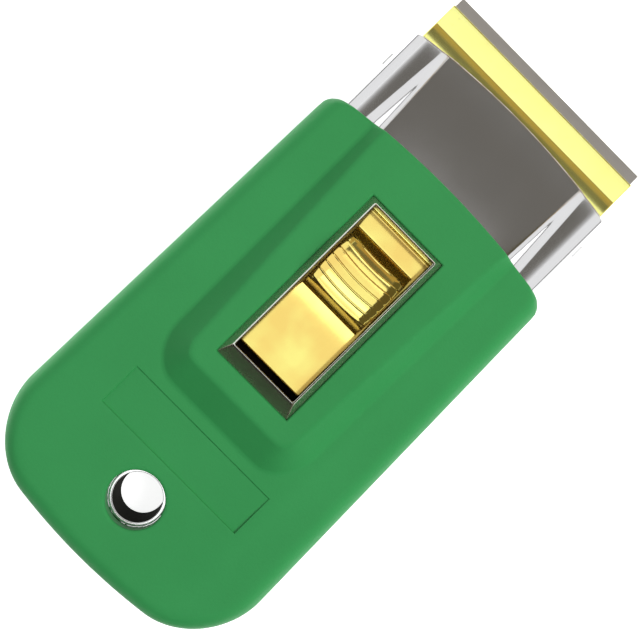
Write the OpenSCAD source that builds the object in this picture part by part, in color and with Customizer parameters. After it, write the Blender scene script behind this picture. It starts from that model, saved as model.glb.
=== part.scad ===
// Pocket scraper for a single-edge razor blade: a moulded grip over a stamped case, with a
// sprung thumb latch on a blade carrier that slides out of the front of the case.
// Millimetres. +X points to the blade, +Z up. The tool lies on its back at z = 0 and the
// origin is under the middle of its overall box.

/* [Overall] */
// Grip length on the middle line
grip_l = 77.4; // [72:0.2:90]
// Case that shows in front of the grip, on the middle line
case_show = 15.5; // [13:0.5:20]
// Blade edge beyond the front of the case, on the middle line
blade_show = 7.7; // [6.5:0.1:8.5]

/* [Grip] */
// Grip skin beside the case at the front
grip_side_t = 2.1; // [1.7:0.1:4]
// How much further each side stands out near the hang hole
grip_flare = 1.6; // [0:0.1:4]
// Grip skin under the case
grip_floor_t = 1.8; // [1.2:0.1:3]
// Grip skin over the shoulders of the case
grip_wall_t = 2.4; // [1.6:0.1:3]
// Radius of the two rear corners, seen from above
grip_corner_r = 11.5; // [9:0.5:15]
// Rounding of the long edges
grip_edge_r = 3; // [1.5:0.1:4]
// Outward bow of the rear end
grip_rear_bow = 0.8; // [0.2:0.1:1.5]
// Outward bow of the front end
grip_front_bow = 1.5; // [0.5:0.1:2.5]
// Radius of the two front corners, seen from above
grip_front_corner_r = 2; // [1:0.25:3]
// Skin over the raised panel behind the window
pad_skin_rear = 3.2; // [2:0.1:3.8]
// Skin over the raised panel at the front of the grip
pad_skin_front = 1.7; // [1.2:0.1:2]
// Foot of the raised pad past each side of the panel, at its rear
pad_over_rear = 0.5; // [0:0.1:3]
// Foot of the raised pad past each side of the panel, at the front
pad_over_front = 1; // [0.5:0.1:3]
// Length of the slope at the rear of the pad, seen from above
pad_rear_run = 4.9; // [3.5:0.1:6]
// Run of the pad's side slopes for each millimetre of rise
pad_side_run = 1.4; // [0.8:0.1:1.6]
// Rounding of the pad's upper edges
pad_edge_r = 0.8; // [0.4:0.1:1]
// Rear end to the near side of the plain label recess
label_from_rear = 19.4; // [18.5:0.1:20]
// Label recess along the grip
label_l = 7.2; // [5:0.1:8]
// Label recess across the grip
label_w = 27.6; // [20:0.2:30]
// Depth of the label recess
label_depth = 0.4; // [0.2:0.1:0.8]
// Rear end to the middle of the hang hole
hole_from_rear = 12.5; // [11:0.1:13]
// Inside diameter of the hang hole
hole_d = 7.2; // [6:0.2:9]
// Sheet thickness of the eyelet
eyelet_t = 0.4; // [0.3:0.05:0.6]
// How far both ends of the eyelet roll outwards
eyelet_roll = 0.8; // [0.7:0.05:1.2]

/* [Case] */
// Case past each side of the jaws
case_side = 1.25; // [1:0.05:3]
// Room over the rivet heads, under the shoulders of the case
head_room = 0.2; // [0.15:0.05:1]
// Sheet thickness of the case and the window frame
sheet_t = 0.6; // [0.5:0.05:0.7]
// Rounding of the upper long edges
case_edge_r = 1.6; // [1.2:0.1:2]
// Radius of the rear corners inside the grip
case_corner_r = 8.5; // [7:0.5:10]
// Grip between the rear of the case and the rear end
case_rear_wall = 3.8; // [3.4:0.1:4.6]
// Outward bow of the front edge
case_front_bow = 1.6; // [0.8:0.1:2.4]
// Rise of the raised panel over the shoulders
panel_rise = 2; // [1.5:0.1:2.4]
// Top width of the raised panel
panel_w = 27; // [25:0.5:28]
// How much wider each side of the panel runs out at the front edge
panel_flare = 0.9; // [0:0.1:2]
// Length of each side notch
notch_l = 4.8; // [4:0.2:6]
// Width of the lug in each side notch
lug_w = 2.2; // [1.6:0.1:2.6]
// Front of the case back to the middle of the front lugs
lug_setback = 7; // [5:0.1:8]
// How far the lugs stand proud of the side walls
lug_proud = 0.25; // [0.1:0.05:0.4]

/* [Window frame] */
// Front of the frame to the front of the grip
window_to_front = 8.6; // [7:0.1:12]
// Frame length at its foot
window_l = 31.9; // [30:0.1:34]
// Frame width at its foot
window_w = 14.2; // [13.8:0.1:16]
// Frame height over the pad behind it
window_show = 2.8; // [0.6:0.1:3.4]
// Lean of the rear wall, seen from above
window_rear_lean = 2.4; // [1.5:0.1:2.8]
// Lean of the front wall, seen from above
window_front_lean = 0.9; // [0.5:0.1:1.2]
// Lean of the two side walls, seen from above
window_side_lean = 1; // [0.5:0.1:1.1]
// Width of the flange under the grip
window_flange = 1.4; // [1:0.1:2]

/* [Blade] */
// Blade length across the tool
blade_l = 38.1; // [36:0.1:60]
// Blade from edge to back
blade_d = 19; // [18:0.1:19.4]
// Blade thickness
blade_t = 0.3; // [0.2:0.05:0.35]
// Width of the ground bevel
bevel_d = 1.6; // [1:0.1:1.8]
// Spine from its front to its back
spine_d = 5; // [4:0.1:5.2]
// Spine thickness over both leaves
spine_t = 1.1; // [0.9:0.05:1.2]

/* [Carrier] */
// Bare blade in front of the jaws
edge_show = 1.9; // [1.5:0.1:2.5]
// Jaws past each end of the blade
jaw_over = 0.2; // [0.1:0.05:0.5]
// Sheet thickness of the upper jaw and the latch
brass_t = 0.6; // [0.5:0.05:0.7]
// Flat lip of the upper jaw from its edge to the crease
lip_d = 3.9; // [3:0.1:4.5]
// Length of the curve behind the crease
joggle_d = 2.7; // [2:0.1:3.5]
// Rise of the upper jaw behind the crease
jaw_rise = 0.9; // [0.7:0.05:1.05]
// Plate thickness of the carrier base
base_t = 0.8; // [0.6:0.1:1]
// Room beside the bridge that joins the jaw and the latch, under the panel
bridge_room = 2.5; // [2:0.1:5]
// Blade travel into the case
travel = 10; // [9:0.2:10.2]

/* [Thumb latch] */
// Gap beside the latch inside the rim of the window
latch_side_gap = 0.2; // [0.15:0.05:0.6]
// Flat of the latch beside the thumb bump
bump_margin = 0.3; // [0.3:0.1:1]
// Height of the thumb bump over the latch
bump_h = 6; // [3:0.1:6.8]
// Length of the thumb bump
bump_l = 12.5; // [11:0.1:13]
// Length of the slope behind the bump
bump_rear_run = 1.7; // [1.2:0.1:2.2]
// Length of the slope in front of the bump
bump_front_run = 2.3; // [1.5:0.1:3]
// Height of the arch along the ribbed top
crown_rise = 0.7; // [0.3:0.1:1]
// Radius of the bump's two shoulders
bump_shoulder_r = 2.2; // [1.2:0.1:2.6]
// Number of ribs
rib_count = 7; // [5:1:9]
// Rib width
rib_w = 0.4; // [0.3:0.05:0.6]
// Rib height
rib_h = 0.16; // [0.1:0.01:0.25]
// How far the ribs run down over the shoulders
rib_drop = 1.8; // [1:0.1:2.4]
// Gap between the latch and the rear rim of the window
latch_rear_gap = 0.6; // [0.4:0.05:1]

/* [Fits] */
// Gap between pieces that are seated together
seat_gap = 0.05; // [0.02:0.01:0.1]
// Gap beside the carrier rails
slide_gap = 0.2; // [0.15:0.05:0.3]
// Gap above and below moving pieces
lift_gap = 0.15; // [0.1:0.05:0.2]

/* [Hidden] */

fine = 96;
coarse = 32;
sliver = 0.01;
over = 5;
grip_colour = [0.22, 0.58, 0.33];
chrome_colour = [0.75, 0.76, 0.78];
brass_colour = [0.88, 0.72, 0.30];
blade_colour = [0.55, 0.56, 0.58];

// short lengths of joints and run-outs
skirt_over = 0.1;
pad_lead = 1.4;
pad_root = 1;
nose_spare = 0.5;
ramp_runout = 0.5;
ramp_root = 0.5;
edge_ease = 0.02;
mitre_share = 0.41;
rail_setback = 1.8;
rivet_r = 1;
rivet_boss_r = 1.6;
rivet_out = 3;
jaw_tail = 2.4;
bridge_run = 5.4;
base_lead = 3;
crown_steps = 12;
crown_lean = 0.7;

// widths, from the blade outwards and from the window inwards
jaw_w = blade_l + 2 * jaw_over;
case_w = jaw_w + 2 * case_side;
grip_w_front = case_w + 2 * grip_side_t;
grip_w_rear = grip_w_front + 2 * grip_flare;
panel_w_front = panel_w + 2 * panel_flare;
pad_w_rear = panel_w + 2 * pad_over_rear;
pad_w_front = panel_w + 2 * pad_over_front;
bridge_w = panel_w - 2 * bridge_room;
rim_w = window_w - 2 * window_side_lean - 2 * sheet_t;
latch_w = rim_w - 2 * latch_side_gap;
bump_w = latch_w - 2 * bump_margin;
rail_half = case_w / 2 - sheet_t - slide_gap;

// holes for the eyelet, in the case and in the grip round its rolled ends
case_hole_d = hole_d + 2 * eyelet_t + 2 * seat_gap;
grip_hole_d = hole_d + 2 * eyelet_roll + 2 * seat_gap;

// stations along the tool
overall_l = grip_l + case_show + blade_show;
rear_x = -overall_l / 2;
grip_front_x = rear_x + grip_l;
case_front_x = grip_front_x + case_show;
edge_x = case_front_x + blade_show;
case_rear_x = rear_x + case_rear_wall;
hole_x = rear_x + hole_from_rear;
label_x = rear_x + label_from_rear;
window_front_x = grip_front_x - window_to_front;
window_x = window_front_x - window_l;
lip_x = edge_x - edge_show;
spine_x = edge_x - blade_d;
spine_front_x = spine_x + spine_d;
lug_front_x = case_front_x - lug_setback;
lug_rear_x = (rear_x + window_x) / 2;

// levels, from the back of the grip up through the carrier
case_z = grip_floor_t;
floor_z = case_z + sheet_t;
step_h = (spine_t - blade_t) / 2 + seat_gap;
base_z = floor_z + base_t;
blade_z = base_z + base_t + step_h;
lip_z = blade_z + blade_t;
jaw_z = lip_z + jaw_rise;
jaw_top = jaw_z + brass_t;
rivet_head_z = jaw_top + lift_gap;
shoulder_z = rivet_head_z + head_room + sheet_t;
case_h = shoulder_z - case_z;
panel_z = shoulder_z + panel_rise;
grip_t = shoulder_z + grip_wall_t;
pad_rear_z = panel_z + pad_skin_rear;
pad_front_z = panel_z + pad_skin_front;
rim_z = pad_rear_z + window_show;
latch_top = panel_z - sheet_t - lift_gap;
latch_z = latch_top - brass_t;

// window rim and latch
rim_rear_x = window_x + window_rear_lean + sheet_t;
rim_front_x = window_front_x - window_front_lean - sheet_t;
latch_rear_x = rim_rear_x + latch_rear_gap;
hinge_x = rim_front_x + brass_t / 2;
hinge_z = latch_z + brass_t / 2;
bump_front_x = rim_front_x - bump_front_run - brass_t / 2;
bump_rear_x = bump_front_x - bump_l;
crown_rear_x = bump_rear_x + bump_rear_run;
crown_front_x = bump_front_x - bump_front_run;

// raised panel and the pad over it
panel_mitre = sheet_t * mitre_share;
panel_rear_x = latch_rear_x - travel - panel_mitre - 2 * lift_gap;
pad_foot_x = panel_rear_x - pad_lead;
pad_edge_x = pad_foot_x + pad_rear_run;
pad_fall = (pad_rear_z - pad_front_z) / (grip_front_x - pad_edge_x);

// carrier
rail_front_x = spine_x - rail_setback;
rivet_x = spine_x - rivet_boss_r - seat_gap;
rivet_y = bridge_w / 2 + rivet_out;
jaw_rear_x = rivet_x - jaw_tail;
base_rear_x = window_x + window_l / 2 - base_lead;

// level at which the window frame starts to lean, just over the sloping pad
function skirt_at(x) = pad_rear_z - pad_fall * (x - pad_edge_x) + skirt_over;

// radius of an arc across a width with a given bow
function bow_r(w, bow) = (w * w / 4 + bow * bow) / (2 * bow);

// bow of that arc at a distance from the middle
function bow_at(w, bow, y) = bow_r(w, bow) - sqrt(pow(bow_r(w, bow), 2) - y * y);

// unit normal to the left of a path at one point
function side_of(p, i) =
    let (a = p[max(i - 1, 0)], b = p[min(i + 1, len(p) - 1)], d = b - a)
    [-d[1], d[0]] / norm(d);

// closed outline of a sheet that follows a path
function sheet_outline(p, t) =
    concat(p, [for (i = [len(p) - 1 : -1 : 0]) p[i] + t * side_of(p, i)]);

module along_x(x0, x1) {
    translate([x0, 0, 0]) rotate([90, 0, 90]) linear_extrude(x1 - x0) children();
}

module across_y(w) {
    translate([0, w / 2, 0]) rotate([90, 0, 0]) linear_extrude(w) children();
}

module both_sides() {
    children();
    mirror([0, 1, 0]) children();
}

// flat block between two corners in plan, centred across the tool
module slab(x0, x1, w, z0, z1) {
    translate([x0, -w / 2, z0]) cube([x1 - x0, w, z1 - z0]);
}

// plate corner with rounded edges, as two rings for a hull
module puck(r) {
    for (z = [grip_edge_r, grip_t - grip_edge_r])
        translate([0, 0, z])
            rotate_extrude($fn = 2 * coarse)
                translate([r - grip_edge_r, 0]) circle(grip_edge_r, $fn = coarse);
}

module grip_body() {
    corner_y = grip_w_rear / 2 - grip_corner_r;
    nose_r = 2 * grip_edge_r + nose_spare;
    hull() {
        for (f = [-1 : 0.5 : 1])
            translate([rear_x + grip_corner_r + grip_rear_bow * f * f, f * corner_y, 0])
                puck(grip_corner_r);
        for (s = [-1, 1])
            translate([grip_front_x, s * (grip_w_front / 2 - nose_r), 0]) puck(nose_r);
    }
}

module grip_pad() {
    foot_r = 5;
    top_r = 3;
    top_w_rear = pad_w_rear - 2 * pad_side_run * (pad_rear_z - grip_t);
    top_w_front = pad_w_front - 2 * pad_side_run * (pad_front_z - grip_t);
    hull() {
        for (s = [-1, 1]) {
            translate([pad_foot_x + foot_r, s * (pad_w_rear / 2 - foot_r), grip_t - pad_root])
                cylinder(h = pad_root, r = foot_r, $fn = coarse);
            translate([pad_edge_x + top_r, s * (top_w_rear / 2 - top_r),
                       pad_rear_z - pad_edge_r])
                rotate_extrude($fn = coarse)
                    translate([top_r - pad_edge_r, 0]) circle(pad_edge_r, $fn = coarse);
            translate([grip_front_x, s * (top_w_front / 2 - pad_edge_r), pad_front_z - pad_edge_r])
                rotate([0, 90, 0]) cylinder(h = sliver, r = pad_edge_r, $fn = coarse);
        }
        slab(grip_front_x, grip_front_x + sliver, pad_w_front, grip_t - pad_root, grip_t);
    }
}

// everything behind the bowed front end of the grip
module grip_plan() {
    corner_y = grip_w_front / 2 - grip_front_corner_r;
    corner_x = grip_front_x - bow_at(grip_w_front, grip_front_bow, corner_y) - grip_front_corner_r;
    r = bow_r(grip_w_front, grip_front_bow);
    translate([rear_x - over, -grip_w_rear]) square([corner_x - rear_x + over, 2 * grip_w_rear]);
    for (s = [-1, 1])
        translate([corner_x, s * corner_y]) circle(grip_front_corner_r, $fn = fine);
    intersection() {
        translate([grip_front_x - r, 0]) circle(r, $fn = 4 * fine);
        translate([rear_x, -corner_y]) square([overall_l, 2 * corner_y]);
    }
}

// plan of the case: round rear corners and a bowed front edge
module case_plan(inset) {
    r = case_corner_r - inset;
    w = case_w - 2 * inset;
    x0 = case_rear_x + inset;
    bow = bow_r(case_w, case_front_bow);
    intersection() {
        union() {
            translate([x0 + r, -w / 2]) square([overall_l, w]);
            translate([x0, r - w / 2]) square([2 * r, w - 2 * r]);
            for (s = [-1, 1])
                translate([x0 + r, s * (w / 2 - r)]) circle(r, $fn = fine);
        }
        translate([case_front_x - bow, 0]) circle(bow, $fn = 4 * fine);
    }
}

// upright section of the case with its two upper edges rounded; a hair wider than the plan, so
// that the rounding meets the flat sides at a small angle
module case_section(inset, z0) {
    r = case_edge_r - inset;
    w = case_w - 2 * inset + 2 * edge_ease;
    top = shoulder_z - inset;
    translate([-w / 2, z0]) square([w, top - r - z0]);
    translate([r - w / 2, z0]) square([w - 2 * r, top - z0]);
    for (s = [-1, 1])
        translate([s * (w / 2 - r), top - r]) circle(r, $fn = fine);
}

// solid of the raised panel, sunk by a depth into the case; its slopes run on below the shoulders
module panel_block(sink) {
    mitre = sink * panel_mitre / sheet_t;
    ramp_l = case_show + ramp_runout;
    front_x = grip_front_x + ramp_l * (panel_rise + ramp_root) / panel_rise;
    rear = panel_rear_x - panel_rise - ramp_root + mitre;
    foot = panel_w / 2 + panel_rise + ramp_root - mitre;
    front = foot - (panel_w / 2 + panel_rise - panel_w_front / 2) * (front_x - grip_front_x) / ramp_l;
    z = shoulder_z - sink - ramp_root;
    hull() {
        translate([0, 0, z - pad_root])
            linear_extrude(pad_root)
                polygon([[front_x, -front], [front_x, front], [grip_front_x, foot],
                         [rear, foot], [rear, -foot], [grip_front_x, -foot]]);
        slab(panel_rear_x + mitre, grip_front_x, panel_w - 2 * mitre, z,
             z + ramp_root + panel_rise);
    }
}

// outside of the case, grown by a gap for the space it sits in
module case_outside(grow) {
    intersection() {
        union() {
            along_x(case_rear_x - over, case_front_x + over) case_section(-grow, case_z - grow);
            panel_block(-grow);
        }
        translate([0, 0, case_z - grow]) linear_extrude(case_h + panel_rise + over) case_plan(-grow);
    }
}

module notches(grow) {
    both_sides()
        for (x = [lug_front_x, lug_rear_x])
            translate([x - notch_l / 2 - grow, case_w / 2 - sheet_t - seat_gap, case_z - over])
                cube([notch_l + 2 * grow, over, over + case_h - case_edge_r - sheet_t + grow]);
}

module lug(x) {
    proud = lug_proud + sheet_t;
    translate([x - lug_w / 2, case_w / 2 - proud, case_z])
        cube([lug_w, proud, sheet_t]);
    translate([x - lug_w / 2, case_w / 2 + lug_proud - sheet_t, case_z])
        cube([lug_w, sheet_t, case_h - case_edge_r - 2 * sheet_t]);
}

// window frame as a solid: an upright skirt up to the pad and leaning walls, each taken in by an inset
module frame_block(inset, z0, z1) {
    x0 = window_x + inset;
    x1 = window_front_x - inset;
    w = window_w - 2 * inset;
    across_y(w) polygon([[x0, z0], [x1, z0], [x1, skirt_at(x1)], [x0, skirt_at(x0)]]);
    hull() {
        across_y(w)
            polygon([[x0, skirt_at(x0) - sliver], [x1, skirt_at(x1) - sliver],
                     [x1, skirt_at(x1)], [x0, skirt_at(x0)]]);
        slab(x0 + window_rear_lean, x1 - window_front_lean, w - 2 * window_side_lean, z1 - sliver, z1);
    }
}

module frame_flange(grow) {
    slab(window_x - window_flange - grow, window_front_x + window_flange + grow,
         window_w + 2 * window_flange + 2 * grow, panel_z - grow, panel_z + sheet_t + grow);
}

module grip_sleeve() {
    color(grip_colour)
        difference() {
            intersection() {
                union() {
                    grip_body();
                    grip_pad();
                }
                linear_extrude(rim_z) grip_plan();
            }
            case_outside(seat_gap);
            frame_flange(seat_gap);
            slab(window_x - seat_gap, window_front_x + seat_gap, window_w + 2 * seat_gap,
                 panel_z - seat_gap, rim_z + over);
            both_sides()
                translate([lug_rear_x - notch_l / 2, 0, case_z - seat_gap])
                    cube([notch_l, case_w / 2 + lug_proud + seat_gap, case_h - case_edge_r]);
            translate([hole_x, 0, -over])
                cylinder(h = grip_t + 2 * over, d = grip_hole_d, $fn = fine);
            slab(label_x, label_x + label_l, label_w, grip_t - label_depth, grip_t + over);
        }
}

module case_top() {
    color(chrome_colour)
        difference() {
            case_outside(0);
            intersection() {
                along_x(case_rear_x - over, case_front_x + over) case_section(sheet_t, case_z - over);
                translate([0, 0, case_z - over])
                    linear_extrude(case_h + over)
                        union() {
                            case_plan(sheet_t);
                            translate([grip_front_x - over, sheet_t - case_w / 2])
                                square([case_show + 3 * over, case_w - 2 * sheet_t]);
                        }
            }
            panel_block(sheet_t);
            slab(window_x + sheet_t, window_front_x - sheet_t, window_w - 2 * sheet_t,
                 shoulder_z, panel_z + over);
            notches(0);
            translate([hole_x, 0, case_z])
                cylinder(h = grip_t, d = case_hole_d, $fn = fine);
        }
}

module case_bottom() {
    color(chrome_colour)
        difference() {
            union() {
                translate([0, 0, case_z]) linear_extrude(sheet_t) case_plan(sheet_t + seat_gap);
                both_sides() {
                    lug(lug_front_x);
                    lug(lug_rear_x);
                }
            }
            translate([hole_x, 0, 0])
                cylinder(h = grip_t, d = case_hole_d, $fn = fine);
        }
}

module window_frame() {
    color(chrome_colour)
        difference() {
            union() {
                frame_flange(0);
                frame_block(0, panel_z, rim_z);
            }
            frame_block(sheet_t, panel_z - over, rim_z + sliver);
        }
}

// quarter of a rolled end, with its root at the origin and its edge up and outwards
module rolled_end() {
    intersection() {
        difference() {
            translate([eyelet_roll, 0]) circle(eyelet_roll, $fn = fine);
            translate([eyelet_roll, 0]) circle(eyelet_roll - eyelet_t, $fn = fine);
        }
        square(eyelet_roll);
    }
}

// tube through the case, rolled over the upper and the lower sheet
module hang_eyelet() {
    color(chrome_colour)
        translate([hole_x, 0, 0])
            rotate_extrude($fn = fine)
                translate([hole_d / 2, 0]) {
                    translate([0, case_z]) square([eyelet_t, case_h]);
                    translate([0, shoulder_z]) rolled_end();
                    translate([0, case_z]) mirror([0, 1]) rolled_end();
                }
}

module carrier_base() {
    jog_x = spine_front_x + 2 * seat_gap;
    joint_x = jog_x - 1;
    color(brass_colour)
        difference() {
            union() {
                translate([0, 0, base_z])
                    linear_extrude(base_t)
                        polygon([[base_rear_x, -rail_half], [rail_front_x, -rail_half],
                                 [rail_front_x, -jaw_w / 2], [joint_x, -jaw_w / 2],
                                 [joint_x, jaw_w / 2], [rail_front_x, jaw_w / 2],
                                 [rail_front_x, rail_half], [base_rear_x, rail_half]]);
                across_y(jaw_w)
                    polygon(sheet_outline([[joint_x, base_z], [jog_x, base_z],
                                           [jog_x + step_h, base_z + step_h],
                                           [lip_x, base_z + step_h]], base_t));
                both_sides()
                    translate([base_rear_x, rail_half - base_t, floor_z + lift_gap])
                        cube([rail_front_x - base_rear_x, base_t,
                              case_h - sheet_t - case_edge_r + 2 * lift_gap]);
            }
            both_sides()
                translate([rivet_x, rivet_y, 0]) cylinder(h = grip_t, r = rivet_r + seat_gap, $fn = fine);
        }
}

// middle of the upper jaw's sheet in side view, from the bridge forward to the lip
function jaw_path() =
    let (crease_x = lip_x - lip_d, steps = 10)
    concat([[hinge_x, latch_z], [jaw_rear_x - bridge_run, latch_z], [jaw_rear_x, jaw_z]],
           [for (i = [0 : steps])
               let (u = i / steps)
               [crease_x - joggle_d * (1 - u), jaw_z - jaw_rise * u * u]],
           [[lip_x, lip_z]]);

module upper_jaw() {
    neck = 2 * (rivet_y + rivet_boss_r + 1);
    color(brass_colour)
        difference() {
            intersection() {
                across_y(jaw_w) polygon(sheet_outline(jaw_path(), brass_t));
                union() {
                    slab(rail_front_x + 3 * lift_gap, lip_x + over, jaw_w, 0, grip_t);
                    slab(jaw_rear_x, lip_x, neck, 0, grip_t);
                    slab(hinge_x - over, lip_x, bridge_w, 0, grip_t);
                }
            }
            both_sides()
                translate([rivet_x, rivet_y, 0]) cylinder(h = grip_t, r = rivet_r + seat_gap, $fn = fine);
            translate([hinge_x, bridge_w, hinge_z])
                rotate([90, 0, 0])
                    cylinder(h = 2 * bridge_w, r = brass_t / 2 + seat_gap, $fn = fine);
        }
}

// one turned length of a rivet between two levels
module shank(r, z0, z1) {
    translate([rivet_x, rivet_y, z0]) cylinder(h = z1 - z0, r = r, $fn = fine);
}

module jaw_rivets() {
    foot_z = base_z - base_t / 2;
    color(brass_colour)
        both_sides() {
            shank(rivet_r, foot_z, rivet_head_z);
            shank(rivet_boss_r, foot_z, base_z);
            shank(rivet_boss_r, base_z + base_t, jaw_z);
            shank(rivet_boss_r, jaw_top, rivet_head_z);
        }
}

module razor_blade() {
    back_x = spine_x + (spine_t - blade_t) / 2;
    end_notch_x = spine_front_x + 1.5;
    end_notch_l = 3;
    end_notch_d = 1.5;
    color(blade_colour)
        difference() {
            translate([0, 0, blade_z])
                across_y(blade_l)
                    polygon([[back_x, 0], [edge_x - bevel_d, 0], [edge_x, blade_t / 2],
                             [edge_x - bevel_d, blade_t], [back_x, blade_t]]);
            both_sides()
                translate([end_notch_x, blade_l / 2 - end_notch_d, 0])
                    cube([end_notch_l, over, grip_t]);
        }
}

module blade_spine() {
    leaf = (spine_t - blade_t) / 2;
    color(blade_colour)
        translate([0, 0, blade_z])
            across_y(blade_l)
                difference() {
                    translate([spine_x, -leaf]) square([spine_d, spine_t]);
                    translate([spine_x + leaf, 0]) square([spine_d, blade_t]);
                }
}

// height of the arched crown over the latch, without its ribs
function crown_at(x) =
    let (v = (2 * x - crown_rear_x - crown_front_x) / (crown_front_x - crown_rear_x))
    bump_h - rib_h - crown_rise * v * v;

// thumb bump in side view, standing on the latch
function bump_outline(inset) =
    let (x0 = bump_rear_x + inset, x1 = bump_front_x - inset,
         c0 = crown_rear_x + inset * crown_lean, c1 = crown_front_x - inset * crown_lean)
    concat([[x0, -brass_t], [x0, 0]],
           [for (i = [0 : crown_steps])
               let (x = c0 + (c1 - c0) * i / crown_steps) [x, crown_at(x) - inset]],
           [[x1, 0], [x1, -brass_t]]);

// end view of the bump, with rounded shoulders
module bump_end(inset) {
    r = bump_shoulder_r - inset;
    w = bump_w - 2 * inset;
    top = bump_h - rib_h - inset;
    translate([-w / 2, -brass_t]) square([w, top - r + brass_t]);
    translate([r - w / 2, 0]) square([w - 2 * r, top]);
    for (s = [-1, 1])
        translate([s * (w / 2 - r), top - r]) circle(r, $fn = fine);
}

module bump_block(inset) {
    intersection() {
        across_y(bump_w) polygon(bump_outline(inset));
        along_x(bump_rear_x - over, bump_front_x + over) bump_end(inset);
    }
}

// ribs across the crown, which run down over both shoulders
module bump_ribs() {
    pitch = (crown_front_x - crown_rear_x - rib_w) / (rib_count - 1);
    for (i = [0 : rib_count - 1]) {
        x = crown_rear_x + rib_w / 2 + i * pitch;
        along_x(x - rib_w / 2, x + rib_w / 2)
            intersection() {
                bump_end(-rib_h);
                translate([-bump_w, crown_at(x) - rib_drop]) square([2 * bump_w, rib_drop + rib_h]);
            }
    }
}

module thumb_latch() {
    tip_r = 0.3;
    color(brass_colour)
        difference() {
            union() {
                slab(latch_rear_x + tip_r, hinge_x, latch_w, latch_z, latch_top);
                slab(latch_rear_x, hinge_x, latch_w - 2 * tip_r, latch_z, latch_top);
                for (s = [-1, 1])
                    translate([latch_rear_x + tip_r, s * (latch_w / 2 - tip_r), latch_z])
                        cylinder(h = brass_t, r = tip_r, $fn = fine);
                translate([hinge_x, latch_w / 2, hinge_z])
                    rotate([90, 0, 0]) cylinder(h = latch_w, r = brass_t / 2, $fn = fine);
                translate([0, 0, latch_top]) {
                    bump_block(0);
                    bump_ribs();
                }
            }
            translate([0, 0, latch_top]) bump_block(brass_t);
        }
}

grip_sleeve();
case_top();
case_bottom();
window_frame();
hang_eyelet();
carrier_base();
upper_jaw();
jaw_rivets();
razor_blade();
blade_spine();
thumb_latch();
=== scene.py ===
"""Looks of a pocket blade scraper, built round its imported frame."""
import math

import bpy
import numpy as np
from bpy.props import FloatProperty, FloatVectorProperty, IntProperty, PointerProperty
from mathutils import Matrix, Vector


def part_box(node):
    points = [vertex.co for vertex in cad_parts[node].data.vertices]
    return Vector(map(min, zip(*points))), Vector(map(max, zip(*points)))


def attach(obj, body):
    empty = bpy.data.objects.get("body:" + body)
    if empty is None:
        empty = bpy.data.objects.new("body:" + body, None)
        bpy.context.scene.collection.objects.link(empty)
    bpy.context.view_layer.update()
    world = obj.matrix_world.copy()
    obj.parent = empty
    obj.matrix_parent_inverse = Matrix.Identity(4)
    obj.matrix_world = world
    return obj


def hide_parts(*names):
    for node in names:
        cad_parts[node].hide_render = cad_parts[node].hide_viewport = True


bl_info = {
    "name": "Pocket Blade Scraper",
    "version": (1, 0, 0),
    "blender": (4, 5, 0),
    "location": "View3D > Sidebar > Scraper",
    "description": "Builds the finished pieces of a pocket blade scraper on its frame",
    "category": "Object",
}

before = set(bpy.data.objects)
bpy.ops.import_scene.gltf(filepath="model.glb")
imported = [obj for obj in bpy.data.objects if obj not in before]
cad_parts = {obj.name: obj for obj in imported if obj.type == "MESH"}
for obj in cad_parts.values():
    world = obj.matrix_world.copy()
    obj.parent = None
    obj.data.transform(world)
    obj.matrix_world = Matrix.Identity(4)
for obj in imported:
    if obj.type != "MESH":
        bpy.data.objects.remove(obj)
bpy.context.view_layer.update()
MM = 0.001


def span(node):
    """Lowest and highest corner of a frame node, in millimetres."""
    low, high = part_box(node)
    return np.array(low) / MM, np.array(high) / MM


GRIP_LO, GRIP_HI = span("grip_sleeve")
CASE_LO, CASE_HI = span("case_top")
FRAME_LO, FRAME_HI = span("window_frame")
LATCH_LO, LATCH_HI = span("thumb_latch")
JAW_LO, JAW_HI = span("upper_jaw")
EYELET_LO, EYELET_HI = span("hang_eyelet")
RIVET_LO, RIVET_HI = span("jaw_rivets")

# levels, places and gaps that several pieces share; lengths are in millimetres down to the stage
SHOULDER_Z = 7.2
PANEL_Z = float(CASE_HI[2])
GRIP_TOP = 9.6
LATCH_TOP = 8.45
RIM_Z = float(FRAME_HI[2]) - 0.4
HOLE_X = float(EYELET_LO[0] + EYELET_HI[0]) / 2
FLANGE = 1.4
WINDOW_LO = FRAME_LO[:2] + FLANGE
WINDOW_HI = FRAME_HI[:2] - FLANGE
LUG_REAR_X = -31.85
LUG_FRONT_X = 35.6
NOTCH = 4.8
SEAT_GAP = 0.05
CUT_EDGE = 0.15

# skins: round lengths for grid lines, share of a step kept clear beside a stretch of closer lines,
# field value that stands for zero, least square of a slope and longest pull of a point
GRID_SNAP = 0.05
GRID_CLEAR = 0.3
SKIN_ZERO = 1e-9
SKIN_FLATTEST = 0.25
SKIN_PULL = 0.15

# grip: bowed ends, raised pad, plain recess and the spaces inside it
HOLE_R = float(EYELET_HI[1]) + 0.05
REAR_BOW = 0.8
FRONT_BOW = 1.8
FRONT_CORNER = 2.0
# the front edge is rounded more from this far inside the side, growing over this run
CORNER_START = 4.0
CORNER_RUN = 3.0
PAD_TOP_REAR = float(GRIP_HI[2])
PAD_TOP_FRONT = 10.9
PAD_FOOT_X = -21.75
PAD_EDGE_X = -16.85
PAD_HALF_REAR = 14.2
PAD_HALF_FRONT = 14.6
PAD_SIDE_RUN = 1.4
PAD_FALL = (PAD_TOP_REAR - PAD_TOP_FRONT) / float(GRIP_HI[0] - PAD_EDGE_X)
# rounding of the pad's corner as a share of its slope, and how deep it stands in the slab
PAD_CORNER = 0.5
PAD_ROOT = 1.0
LABEL_X = -30.9
LABEL_EDGE = 0.1
# share of its depth that the recess loses towards the front
LABEL_TILT = 0.5
POCKET_H = 0.6
LUG_PROUD = 0.25
LUG_MID_Z = 3.7
LUG_HALF_H = 1.9
MOUTH_EDGE = 0.25
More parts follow.
